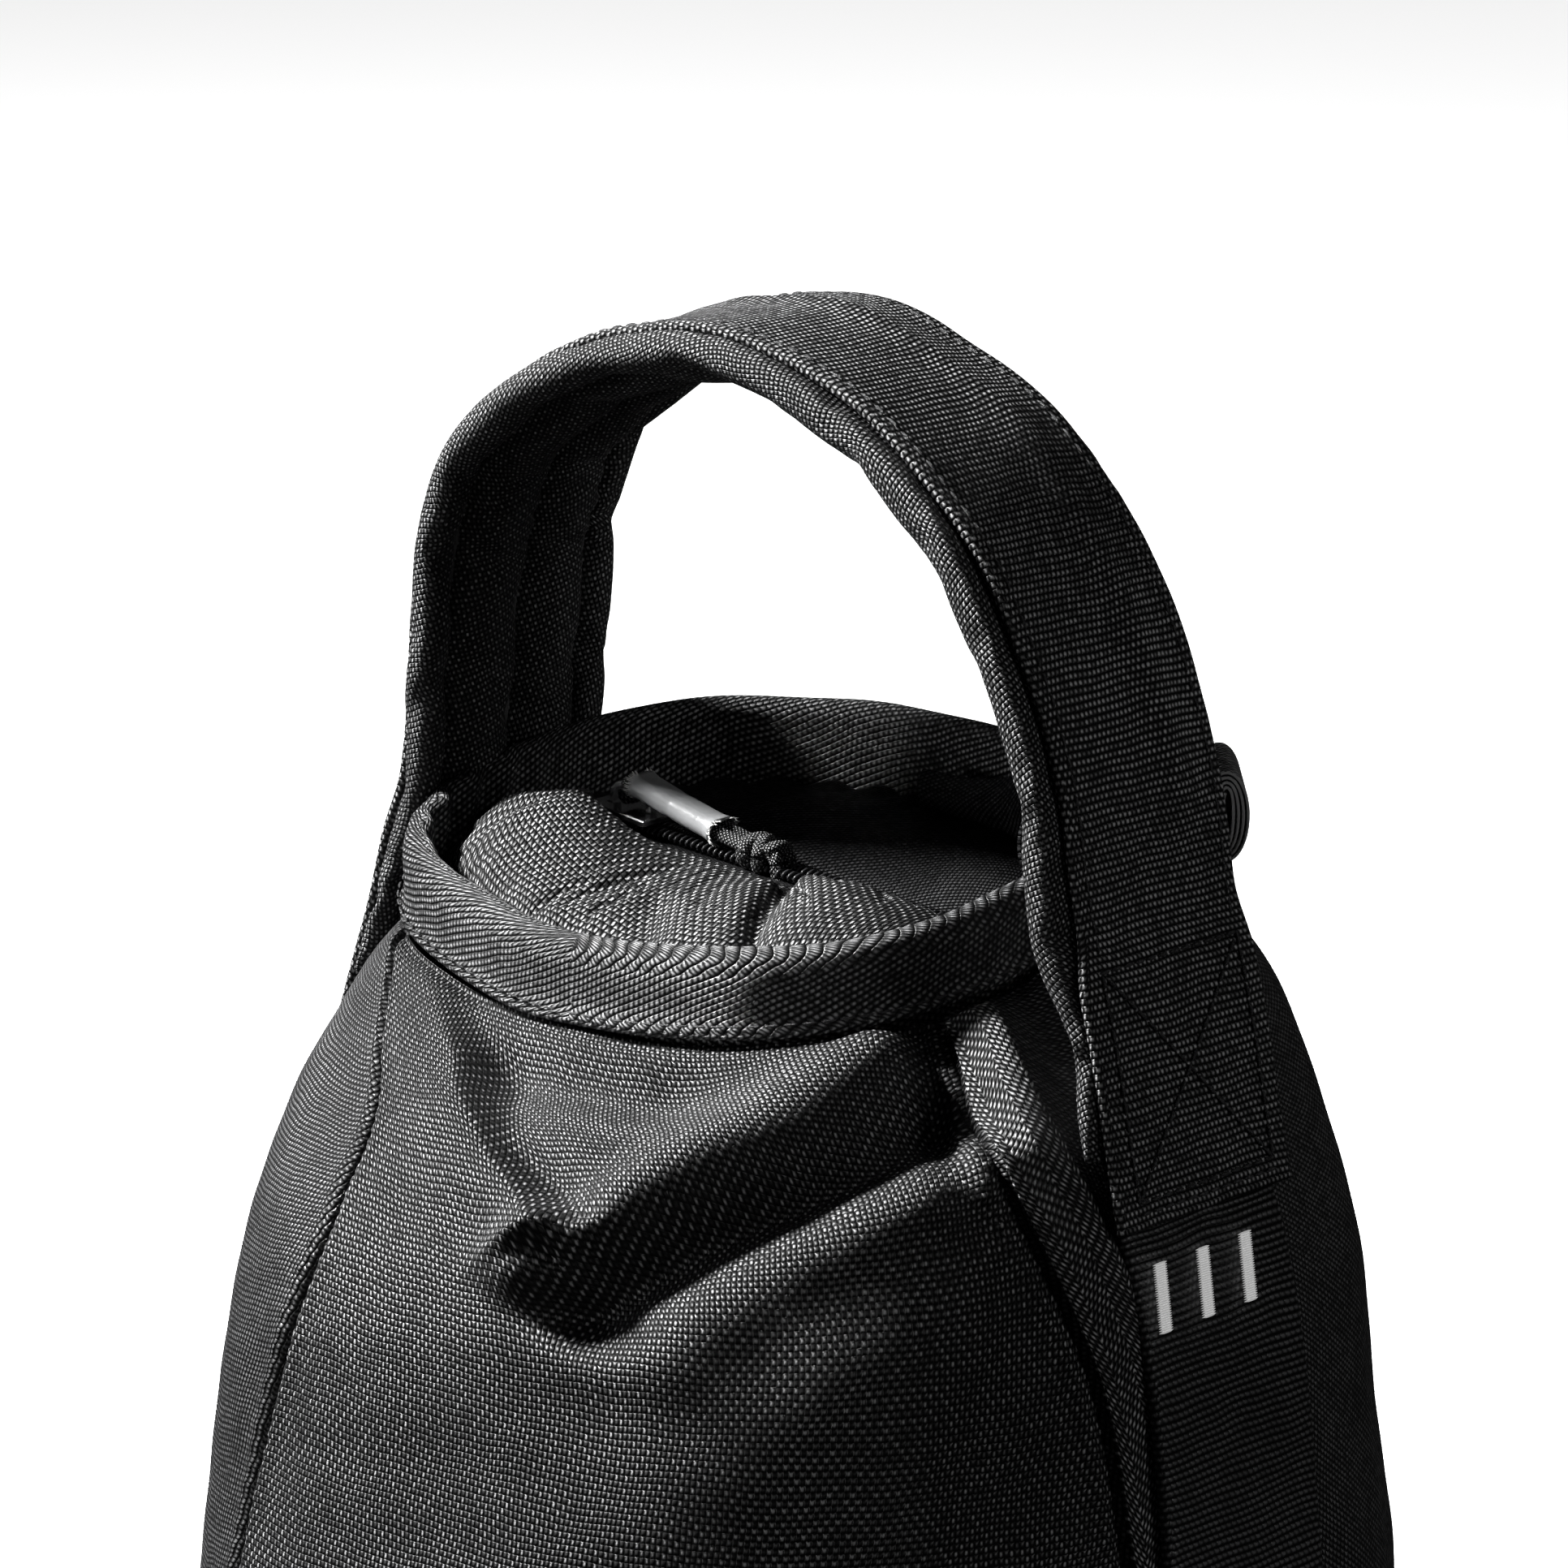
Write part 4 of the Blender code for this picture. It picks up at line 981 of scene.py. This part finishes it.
def make_lid(paint):
    """Two halves of the lid, each from its folded edge beside the zip down to the collar's inside."""
    start, end = ZIP_REACH
    columns, rows = 170, 64
    share = np.linspace(0.0, 1.0, columns)
    along = start - 0.004 + (end - start + 0.007) * share
    t = np.linspace(0.0, 1.0, rows)[:, None]
    # The back half gets the lining, darker than the front half's cloth: painted shade, though the real lid is
    # one cloth.
    for side, label, depth, cloth in ((-1, "front", 0.0125, "coarse"), (1, "back", 0.0140, "shade_lining")):
        turn = np.radians(-86.0 + 172.0 * share)
        azimuth = turn if side < 0 else math.pi - turn
        rim = collar_line(azimuth, -COLLAR_WALL + 0.0006, COLLAR_HEIGHT - depth)
        edge = zip_point(along, side * LID_EDGE, 0.0006)
        points = edge + (rim - edge) * t[..., None]
        ends = smooth_step(share / 0.12) * smooth_step((1.0 - share) / 0.12)
        if side < 0:
            crest = curve(LID_CREST, share)
            rise = smooth_step(t / 0.16) * (1.0 - np.clip((t - 0.16) / 0.84, 0.0, 1.0) ** 1.5)
            swell = crest * rise + 0.0026 * ends * np.sin(math.pi * t)
            swell = swell + lumps(points, 0.022, 20) * 0.0007 * np.sin(math.pi * t)
            run = share - 0.36 - 0.22 * t
            swell = swell - 0.0012 * hump(run, 0.035) * smooth_step(t / 0.3) * smooth_step((0.95 - t) / 0.3)
            swell = swell + 0.0026 * hump(share - 0.045, 0.035) * np.sin(math.pi * np.clip(t * 1.3, 0.0, 1.0))
            fold = share - 0.60 - 0.12 * t
            swell = swell - 0.0034 * hump(fold, 0.022) * smooth_step(t / 0.12) * smooth_step((0.95 - t) / 0.3)
            pleats = np.sin(share * 170.0 + 3.0 * t) * hump(share - 0.11, 0.075)
            swell = swell + 0.0013 * pleats * smooth_step((t - 0.15) / 0.4)
        else:
            swell = 0.0022 * ends * np.sin(math.pi * t**0.8)
            swell = swell + lumps(points, 0.026, 22) * 0.0008 * np.sin(math.pi * t)
        gathers = 0.0007 * np.sin(share * 95.0 + side) * smooth_step((t - 0.55) / 0.4)
        points[..., 2] += swell + gathers
        if side > 0:
            points = points[:, ::-1]
        else:
            held = np.zeros(points.shape[:2], bool)
            held[:4] = held[-4:] = True
            held[:, :4] = held[:, -4:] = True
            points = puffed(points[::-1], held, pressure=3.0, grow=0.03, cap=0.0022)[::-1]
        piece = surface(f"lid_{label}_cloth", points[::-1], paint[cloth], thickness=0.0011)
        add(piece, "bag", "basket_weave", f"lid_{label}")


def make_zip(paint):
    start, end = ZIP_REACH
    turns = full_turn(8)
    for side, label in ((-1, "front"), (1, "back")):
        along = np.linspace(*TAPE_REACH, 90)
        across = np.linspace(TAPE_INNER, TAPE_INNER + TAPE_WIDTH, 9)
        across = side * (across if side < 0 else across[::-1])
        points = zip_point(along[None, :], across[:, None], 0.0)
        tape = surface(f"zip_tape_{label}", points[::-1], paint["tape"], thickness=0.0006)
        add(tape, "bag", "cover_cloth", f"zipper_tape_{label}")

        loops = []
        wide = side * (COIL_MIDDLE + COIL_HALF[0] * np.cos(turns))
        tall = COIL_HEIGHT + COIL_HALF[1] * np.sin(turns)
        for place in np.arange(start + 0.0004, end, COIL_PITCH):
            loops.append(zip_point(place + 0.00018 * np.sin(turns), wide, tall))
        coil = joined_rings(f"zip_coil_{label}", loops, COIL_WIRE, paint["nylon"])
        add(coil, "bag", "nylon", f"zipper_coil_{label}")
    for name in ("zipper_stop_left", "zipper_stop_right", "zipper_slider"):
        give(frame["nodes"][name], paint["metal"])


def joined_rings(name, loops, radius, material, sides=6):
    """Closed rings of round wire, joined as one mesh."""
    verts = []
    faces = []
    for loop in loops:
        base = len(verts)
        count = len(loop)
        centre = loop.mean(axis=0)
        plane = unit(np.cross(loop[0] - centre, loop[2] - centre))
        for i, point in enumerate(loop):
            out = unit(point - centre)
            for k in range(sides):
                turn = math.tau * k / sides
                verts.append(point + radius * (out * math.cos(turn) + plane * math.sin(turn)))
        for i in range(count):
            j = (i + 1) % count
            near, far = base + i * sides, base + j * sides
            for k in range(sides):
                n = (k + 1) % sides
                faces.append((near + k, far + k, far + n, near + n))
    data = bpy.data.meshes.new(name)
    data.from_pydata([tuple(v) for v in verts], [], faces)
    return new_object(name, data, material)


def make_flap(paint):
    """Facing flap that stands inside the collar's back right wall."""
    share = np.linspace(0.0, 1.0, 60)
    azimuth = np.radians(104.0 + (178.0 - 104.0) * share)
    top = 0.2065 + (0.1975 - 0.2065) * smooth_step(share * 1.15)
    top -= 0.0040 * (1.0 - smooth_step(share / 0.12))
    bottom = 0.1905
    t = np.linspace(0.0, 1.0, 16)[:, None]
    base = collar_line(azimuth, -0.0110, 0.0)
    points = np.repeat(base[None], 16, axis=0)
    points[..., 2] = bottom + (top - bottom) * t
    points = points - outward(azimuth) * (0.0015 * np.sin(math.pi * t))[..., None]
    width = run_lengths(points[8])[-1]
    # The flap is painted with the lining: painted shade.
    piece = surface("inner_flap_cloth", points[:, ::-1], paint["shade_lining"], thickness=0.0011)
    add(piece, "bag", "cover_cloth", "inner_flap")


# ---------------------------------------------------------------- handle


def leg_points(side):
    """The webbing's outer face from its bend down to its cut end, at y = 0."""
    end_x = HANDLE_LINE[0][0] if side > 0 else HANDLE_LINE[-1][0]
    shift = side * (STRAP_THICKNESS + GAP * 2.0)
    low = strap_line(side, STRAP_THICKNESS + WEBBING + GAP)
    below = np.array([np.interp(TAB_BOTTOM, low[::-1, 2], low[::-1, 0]), TAB_BOTTOM])
    middle = np.array([end_x + side * HANDLE_LEAN * (HINGE_HEIGHT - 0.1760) + shift, 0.1760])
    start = np.array([end_x, HINGE_HEIGHT])
    return start, middle, below


def handle_path(count=260):
    """Points and outward normals of the webbing's outer face, from the right cut end to the left one."""
    right = leg_points(1)
    left = leg_points(-1)
    stops = [right[2], (right[1] + right[2]) / 2.0, right[1]] + [np.array(p) for p in HANDLE_LINE]
    stops += [left[1], (left[1] + left[2]) / 2.0, left[2]]
    line = even_curve(stops, count)
    run = unit(np.gradient(line, axis=0))
    points = np.stack([line[:, 0], np.zeros(count), line[:, 1]], axis=1)
    normals = np.stack([run[:, 1], np.zeros(count), -run[:, 0]], axis=1)
    return points, normals


def add_bending(piece, slot, *nodes):
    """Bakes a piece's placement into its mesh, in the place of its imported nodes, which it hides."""
    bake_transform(piece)
    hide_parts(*nodes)


def handle_wear(points):
    """How far the worn webbing swells outwards: soft lumps, and a ridge along its rear third."""
    swell = lumps(points, 0.034, 31) * 0.0004 + lumps(points, 0.011, 32) * 0.00010
    ridge = 0.0009 * hump(points[..., 1] - 0.0080, 0.0030) * smooth_step((points[..., 2] - 0.20) / 0.02)
    free = smooth_step((points[..., 2] - 0.192) / 0.012)
    return (swell + ridge) * free


def make_handle(paint):
    points, normals = handle_path()
    reach = run_lengths(points)
    across = np.broadcast_to(BACKWARD, points.shape)
    low = smooth_step((0.1960 - points[:, 2]) / 0.012)
    widths = WEBBING_WIDTH + (TAB_WIDTH - WEBBING_WIDTH) * low

    def wear(grid):
        return grid + normals[:, None, :] * handle_wear(grid)[..., None]

    webbing = band("handle_web", points, normals, across, widths, WEBBING, paint["webbing"], wear)
    add_bending(webbing, "webbing", "handle_webbing", "left_tab", "right_tab")

    make_cover(paint, points, normals, reach)
    make_handle_seams(paint, points, normals)


# the cover's section as (across, depth under the webbing), from the front edge round the underside
COVER_SECTION = [
    (-0.0165, 0.0002),
    (-0.0198, 0.0001),
    (-0.0222, 0.0012),
    (-0.0230, 0.0032),
    (-0.0218, 0.0054),
    (-0.0190, 0.0062),
    (-0.0168, 0.0050),
    (-0.0160, 0.0030),
    (-0.0150, 0.0052),
    (-0.0122, 0.0072),
    (-0.0080, 0.0078),
    (-0.0036, 0.0070),
    (-0.0008, 0.0052),
    (0.0000, 0.0030),
    (0.0008, 0.0052),
    (0.0036, 0.0070),
    (0.0075, 0.0078),
    (0.0112, 0.0070),
    (0.0140, 0.0052),
    (0.0149, 0.0030),
    (0.0158, 0.0052),
    (0.0184, 0.0062),
    (0.0212, 0.0054),
    (0.0224, 0.0032),
    (0.0218, 0.0012),
    (0.0196, 0.0001),
    (0.0165, 0.0002),
]
COVER_GROOVES = (7, 13, 19)        # the stops of its sewn lines
COVER_CLOTH = 0.0009
FOAM_WIDTH = 0.0350
FOAM_THICKNESS = 0.0022
FOAM_DEPTH = 0.0034                # under the webbing's outer face


def make_cover(paint, path, path_normals, reach):
    """Padded sleeve under the webbing, sewn into an edge roll, two wide channels and another edge roll."""
    keep = path[:, 2] > 0.1600
    line, normals, place = path[keep], path_normals[keep], reach[keep]
    line, normals, place = line[::2], normals[::2], place[::2]
    stops = np.linspace(len(COVER_SECTION) - 1.0, 0.0, 79)
    section = curve(COVER_SECTION, stops / (len(COVER_SECTION) - 1.0))
    kink = place[np.argmin(np.hypot(line[:, 0] + 0.0655, line[:, 2] - 0.2410))]
    rings = []
    for point, normal, at in zip(line, normals, place):
        slim = 1.0 - 0.55 * smooth_step((0.1960 - point[2]) / 0.018)
        y = section[:, 0]
        under = smooth_step((section[:, 1] - 0.0015) / 0.003)
        inner = smooth_step((0.0200 - np.abs(y)) / 0.004)
        bunch = hump(at - kink, 0.010) * under * inner
        ripple = np.sin((at - kink) / 0.0062 * math.tau + y * 90.0 + 3.0 * np.sin(y * 240.0))
        folds = bunch * (0.0012 * ripple + 0.0004)
        swell = 0.00022 * under * np.sin(at / 0.021 * math.tau + y * 170.0)
        depth = section[:, 1] * slim + folds + swell
        ring = point - np.outer(depth + WEBBING + GAP, normal)
        ring[:, 1] += y
        rings.append(ring)
    points = np.array(rings)
    sewn = (stops < 1.0) | (stops > len(COVER_SECTION) - 2.0)
    for groove in COVER_GROOVES:
        sewn |= np.abs(stops - groove) < 0.2
    held = np.broadcast_to(sewn, points.shape[:2]).copy()
    held[:2] = held[-2:] = True
    points = puffed(points, held, pressure=20.0, grow=0.03, cap=0.0014)
    points = points + grid_normals(points) * (lumps(points, 0.022, 41) * 0.0003)[..., None]
    cover = surface("handle_sleeve", points, paint["cover"])
    cover.modifiers.new("smooth", "SUBSURF").levels = 1
    cover.modifiers["smooth"].render_levels = 1
    solid = cover.modifiers.new("thickness", "SOLIDIFY")
    solid.thickness = COVER_CLOTH
    solid.offset = -1.0
    add_bending(cover, "cover_cloth", "handle_cover")
    across = np.broadcast_to(BACKWARD, line.shape)
    widths = np.full(len(line), FOAM_WIDTH)
    inner = line - normals * FOAM_DEPTH
    foam = band("handle_foam", inner, normals, across, widths, FOAM_THICKNESS, paint["foam"])
    add_bending(foam, "foam", "handle_padding")


def make_handle_seams(paint, path, normals):
    verts, faces = stitch_shape()
    for side, label in ((-1, "front"), (1, "back")):
        keep = path[:, 2] > 0.190
        line = path[keep] + BACKWARD * (side * (WEBBING_WIDTH / 2.0 - 0.0028))
        line = line + normals[keep] * (handle_wear(line) - 0.00005)[:, None]
        frames = stitch_frames(line, normals[keep], 0.0027, 0.0032, 0.00028)
        piece = stamped(f"handle_stitches_{label}", verts, faces, frames, paint["thread"])
        add_bending(piece, "black_thread", f"handle_seam_{label}")

    for side, label in ((-1, "left"), (1, "right")):
        below = path[:, 2] < 0.1895
        here = (np.sign(path[:, 0]) == side) & below
        leg, out = path[here], normals[here]
        order = np.argsort(leg[:, 2])
        leg, out = leg[order], out[order]
        reach = run_lengths(leg)

        def on_tab(y, height):
            point = on_line(height, reach, leg)
            normal = unit(on_line(height, reach, out))
            return point + BACKWARD * y + normal * 0.0001, normal

        bottom, top, half = 0.0042, reach[-1] - 0.0012, 0.0165
        corners = [(-half, bottom), (half, bottom), (half, top), (-half, top)]
        runs = [(corners[i], corners[(i + 1) % 4]) for i in range(4)]
        runs += [(corners[0], corners[2]), (corners[1], corners[3])]
        runs.append(((-half, bottom - 0.0018), (half, bottom - 0.0018)))
        frames = []
        for (y0, h0), (y1, h1) in runs:
            spots = [on_tab(y0 + (y1 - y0) * t, h0 + (h1 - h0) * t) for t in np.linspace(0.0, 1.0, 12)]
            line = np.array([spot[0] for spot in spots])
            frames += stitch_frames(line, np.array([spot[1] for spot in spots]), 0.0024, 0.0028, 0.00032)
        piece = stamped(f"{label}_tab_stitches", verts, faces, frames, paint["thread"])
        add(piece, "bag", "black_thread", f"{label}_box_stitch")


# ---------------------------------------------------------------- side straps


def strap_line(side, offset):
    """A side strap's line at y = 0, from its top down to the base."""
    end_x = HANDLE_LINE[0][0] if side > 0 else HANDLE_LINE[-1][0]
    top_x = end_x + side * (HANDLE_LEAN * (HINGE_HEIGHT - STRAP_TOP) - WEBBING + offset)
    levels = np.linspace(STRAP_END_LEVEL, 0.0, 60)
    azimuth = np.full(levels.shape, side * math.pi / 2.0)
    body = plain_body(azimuth, levels)
    stops = [np.array((top_x, 0.0, STRAP_TOP))]
    for point in body:
        stops.append(np.array((point[0] + side * (GAP * 2.0 + offset), 0.0, point[2])))
    return np.array(stops)


def make_straps(paint):
    for side, label in ((-1, "left"), (1, "right")):
        line = strap_line(side, STRAP_THICKNESS)
        line = even_curve(line[::2], 150)
        run = unit(np.gradient(line, axis=0))
        normals = np.stack([-run[:, 2] * side, np.zeros(len(run)), run[:, 0] * side], axis=1)
        across = np.broadcast_to(side * BACKWARD, line.shape)
        widths = np.full(len(line), WEBBING_WIDTH)
        strap = band(
            f"{label}_side_strap", line[::-1], normals[::-1], across, widths, STRAP_THICKNESS, paint["ribbed"]
        )
        add(strap, "bag", "webbing", f"{label}_strap")
    make_mark(paint)


def make_mark(paint):
    """Three slanted embroidered bars on the right strap, each a ladder of satin stitches."""
    verts, faces = stitch_shape()
    for number in (1, 2, 3):
        low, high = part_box(f"mark_bar_{number}")
        centre = np.array((low + high) / 2.0)
        up = unit(np.array((low.x - high.x, 0.0, high.z - low.z)))
        out = np.array((up[2], 0.0, -up[0]))
        tall = (high.z - low.z) / up[2]
        slant = 0.20
        wide = (high.y - low.y - slant * tall) / 2.0
        frames = []
        for place in np.linspace(-tall / 2.0, tall / 2.0, 30):
            origin = centre + BACKWARD * (place * slant) + up * place + out * 0.0001
            frames.append((origin, (BACKWARD * wide, up * 0.00022, out * 0.00030)))
        piece = stamped(f"mark_stitches_{number}", verts, faces, frames, paint["white"])
        add(piece, "bag", "white_thread", f"mark_bar_{number}")


def make_tail(paint):
    """Narrow webbing behind the handle's right leg, rolled up into an oval."""
    angle = math.radians(TAIL_AZIMUTH)
    across = np.array((-math.sin(angle), math.cos(angle), 0.0))
    away = np.array((math.cos(angle), math.sin(angle), 0.0))
    turns = np.linspace(0.0, (TAIL_TURNS + 0.25) * math.tau, 240)
    line = []
    for turn in turns:
        wide = 0.0003 + TAIL_PITCH * turn / math.tau
        tall = 0.0040 + TAIL_PITCH * turn / math.tau
        line.append(TAIL_CENTRE - away * (wide * math.sin(turn)) + UP * (tall * math.cos(turn)))
    for inwards, drop in ((0.0040, 0.0045), (0.0062, 0.0088), (0.0105, 0.0110)):
        line.append(TAIL_CENTRE - away * inwards - UP * drop)
    line = even_curve(np.array(line[:-3:4] + line[-3:]), 300)
    half = TAIL_WIDTH / 2.0
    steps = np.linspace(-half, half, 13)
    points = line[None, :, :] + steps[:, None, None] * across
    piece = surface("rolled_tail", points, paint["tail"], thickness=0.00045)
    # The rims of the roll are painted light grey: a painted highlight on the edges of its turns.
    piece.data.materials.append(paint["rim_highlight"])
    piece.modifiers["thickness"].material_offset_rim = 1
    add(piece, "bag", "webbing", "tail_strap")
    length = float(run_lengths(line)[-1])


# ---------------------------------------------------------------- zip pull


def make_pull(paint):
    """A doubled cord through the slider's bridge, in a shrunk sleeve with frayed rims, ending in a knot."""
    pivot = pull_pivot()
    along = np.array((math.cos(PULL_SLOPE), 0.0, -math.sin(PULL_SLOPE)))
    side = BACKWARD
    upward = np.array((math.sin(PULL_SLOPE), 0.0, math.cos(PULL_SLOPE)))

    def at(x, y, z=0.0):
        sag = 0.0006 * math.sin(math.pi * min(max(x / PULL_LENGTH, 0.0), 1.0))
        return pivot + along * x + side * y + upward * (z + PULL_RISE - sag)

    radius = PULL_CORD / 2.0
    close = radius * 0.98
    end = PULL_LENGTH - KNOT_LENGTH
    strand = [
        at(end + 0.002, close),
        at(SLEEVE_START + SLEEVE_LENGTH, close),
        at(SLEEVE_START + 0.001, close),
        at(0.0002, 0.0020, -0.0004),
        at(0.0001, 0.0026, -0.0013),
        at(0.0001, 0.0019, -0.0025),
    ]
    stops = strand + [at(0.0, 0.0, -PULL_RISE)] + [point * (1.0, -1.0, 1.0) for point in strand[::-1]]
    cord = tube("pull_strands", even_curve(stops, 90), radius * 0.96, paint["cord"], sides=12)
    add(cord, "pull", "cord", "pull_cord")

    rings = []
    turns = full_turn(40)
    lengths = np.linspace(0.0, 1.0, 30)
    for share in lengths:
        flare = 0.00025 * (hump(share, 0.06) + hump(share - 1.0, 0.06))
        pinch = -0.00012 * hump(share - 0.45, 0.05)
        ring = []
        for turn in turns:
            y = math.cos(turn) * (radius + 0.00055 + flare + pinch)
            y += math.copysign(close * 0.92, y)
            z = math.sin(turn) * (radius + 0.00060 + flare + pinch)
            ring.append(at(SLEEVE_START + SLEEVE_LENGTH * share, y, z))
        rings.append(ring)
    sleeve = surface("pull_sleeve_skin", np.array(rings), paint["sleeve"], wrap=True, thickness=0.0004)
    add(sleeve, "pull", "sleeve", "pull_sleeve")

    draw = np.random.default_rng(7)
    verts, faces = stitch_shape()
    frames = []
    for share, outwards in ((0.0, -1.0), (1.0, 1.0)):
        for turn in np.linspace(0.0, math.tau, 46, endpoint=False):
            y = math.cos(turn) * (radius + 0.00075)
            y += math.copysign(close * 0.92, y)
            z = math.sin(turn) * (radius + 0.00080)
            place = SLEEVE_START + SLEEVE_LENGTH * share + outwards * draw.uniform(-0.0003, 0.0005)
            fan = unit(side * y + upward * z) * draw.uniform(0.1, 0.9)
            lean = unit(along * outwards + fan + side * draw.uniform(-0.4, 0.4))
            out = unit(np.cross(lean, np.array((0.3, 0.5, 0.8))))
            length = draw.uniform(0.0004, 0.0009)
            frames.append((at(place, y, z), (lean * length, out * FIBRE, np.cross(lean, out) * FIBRE)))
    add(stamped("pull_fray", verts, faces, frames, paint["fray"]), "pull", "sleeve")
    make_knot(paint, at)


def make_knot(paint, at):
    """An overhand knot of the doubled cord, with its sealed ends sticking out."""
    middle = PULL_LENGTH - KNOT_LENGTH / 2.0
    radius = PULL_CORD / 2.0
    turns = np.linspace(0.0, 2.4 * math.tau, 80)
    line = []
    for turn in turns:
        share = turn / turns[-1]
        x = middle - 0.0030 + 0.0050 * share + 0.0007 * math.sin(turn * 1.5)
        line.append(at(x, 0.0026 * math.cos(turn), 0.0021 * math.sin(turn) - 0.0006))
    knot = tube("pull_knot_cord", line, radius * 1.05, paint["cord"], sides=12)
    add(knot, "pull", "cord", "pull_knot")
    for number, y in enumerate((-1.0, 1.0), start=1):
        ends = [
            at(middle + 0.0012, y * 0.0012, 0.0008),
            at(middle + 0.0034, y * 0.0015, 0.0002),
            at(middle + 0.0046, y * 0.0016, -0.0026),
        ]
        line = even_curve(ends, 14)
        add(tube(f"pull_end_{number}", line, radius * 0.95, paint["cord"], sides=12), "pull", "cord")
        tip = line[-1] + np.outer((0.0, 0.0004), line[-1] - line[-4]) / 0.0008
        seal = tube(f"pull_seal_{number}", tip, radius * 1.02, paint["thread"], sides=12)
        add(seal, "pull", "cord")


def pull_pivot():
    joint = next(j for j in frame["joints"] if j["name"] == "pull_swing")
    return np.array(joint["pos_m"])


# ---------------------------------------------------------------- studio


def direction(azimuth, elevation):
    a, e = math.radians(azimuth), math.radians(elevation)
    return Vector((math.sin(a) * math.cos(e), -math.cos(a) * math.cos(e), math.sin(e)))


def area_light(name, azimuth, elevation, distance, size, power):
    """A soft light on a spot round the bag, aimed at its mouth."""
    target = Vector((0.0, 0.0, 0.17))
    away = direction(azimuth, elevation)
    lamp = bpy.data.lights.new(name, "AREA")
    lamp.shape = "DISK"
    lamp.size = size
    lamp.energy = power
    thing = bpy.data.objects.new(name, lamp)
    thing.location = target + away * distance
    thing.rotation_euler = (-away).to_track_quat("-Z", "Y").to_euler()
    bpy.context.scene.collection.objects.link(thing)


def glowing(name, base, glow, roughness):
    made = bpy.data.materials.new(name)
    made.use_nodes = True
    inputs = made.node_tree.nodes["Principled BSDF"].inputs
    inputs["Base Color"].default_value = (base, base, base, 1.0)
    inputs["Roughness"].default_value = roughness
    inputs["Emission Color"].default_value = (1.0, 1.0, 1.0, 1.0)
    inputs["Emission Strength"].default_value = glow
    return made


def make_studio():
    scene = bpy.context.scene
    scene.view_settings.view_transform = "Standard"
    world = bpy.data.worlds.new("studio")
    world.use_nodes = True
    world.node_tree.nodes["Background"].inputs["Color"].default_value = (1.0, 1.0, 1.0, 1.0)
    world.node_tree.nodes["Background"].inputs["Strength"].default_value = 0.015
    scene.world = world

    data = bpy.data.meshes.new("floor")
    data.from_pydata((outward(full_turn(96)) * FLOOR_RADIUS).tolist(), [], [tuple(range(96))])
    floor = new_object("floor", data, glowing("floor", 0.86, 0.72, 0.9))
    floor.visible_diffuse = False
    floor.visible_glossy = False
    floor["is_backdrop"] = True

    rows = np.radians(np.linspace(-5.0, 89.0, 20))[:, None]
    rim = full_turn(48)[None, :]
    level, height = np.cos(rows), np.sin(rows) * np.ones_like(rim)
    dome = DOME_RADIUS * np.stack([level * np.sin(rim), -level * np.cos(rim), height], axis=2)
    backdrop = surface("backdrop", dome, glowing("backdrop", 0.0, 1.0, 0.5), wrap=True)
    for setting in ("visible_diffuse", "visible_glossy", "visible_transmission", "visible_shadow"):
        setattr(backdrop, setting, False)
    backdrop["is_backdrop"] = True

    area_light("key", -63.0, 41.0, 1.5, 0.28, 84.0)
    area_light("bounce", -30.0, 2.0, 1.5, 0.40, 3.4)
    area_light("side", 104.0, 18.0, 1.5, 0.60, 2.4)


def make_camera():
    """A long lens from the front right, a little above the mouth of the bag."""
    target = Vector((-0.0059, 0.0029, 0.2007))
    away = direction(42.0, 14.0)
    lens = bpy.data.cameras.new("camera")
    lens.sensor_width = 36.0
    lens.lens = LENS
    camera = bpy.data.objects.new("camera", lens)
    camera.location = target + away * CAMERA_DISTANCE
    camera.rotation_euler = (-away).to_track_quat("-Z", "Y").to_euler()
    bpy.context.scene.collection.objects.link(camera)
    bpy.context.scene.camera = camera


# ---------------------------------------------------------------- assembly

make_camera()
paint = make_materials()
make_pull(paint)
make_body(paint)
make_filling(paint)
make_collar(paint)
make_lid(paint)
make_zip(paint)
make_flap(paint)
make_handle(paint)
make_straps(paint)
make_tail(paint)
make_studio()

[[list(corner) for corner in box] for box in (CAD_BOUNDS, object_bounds())]
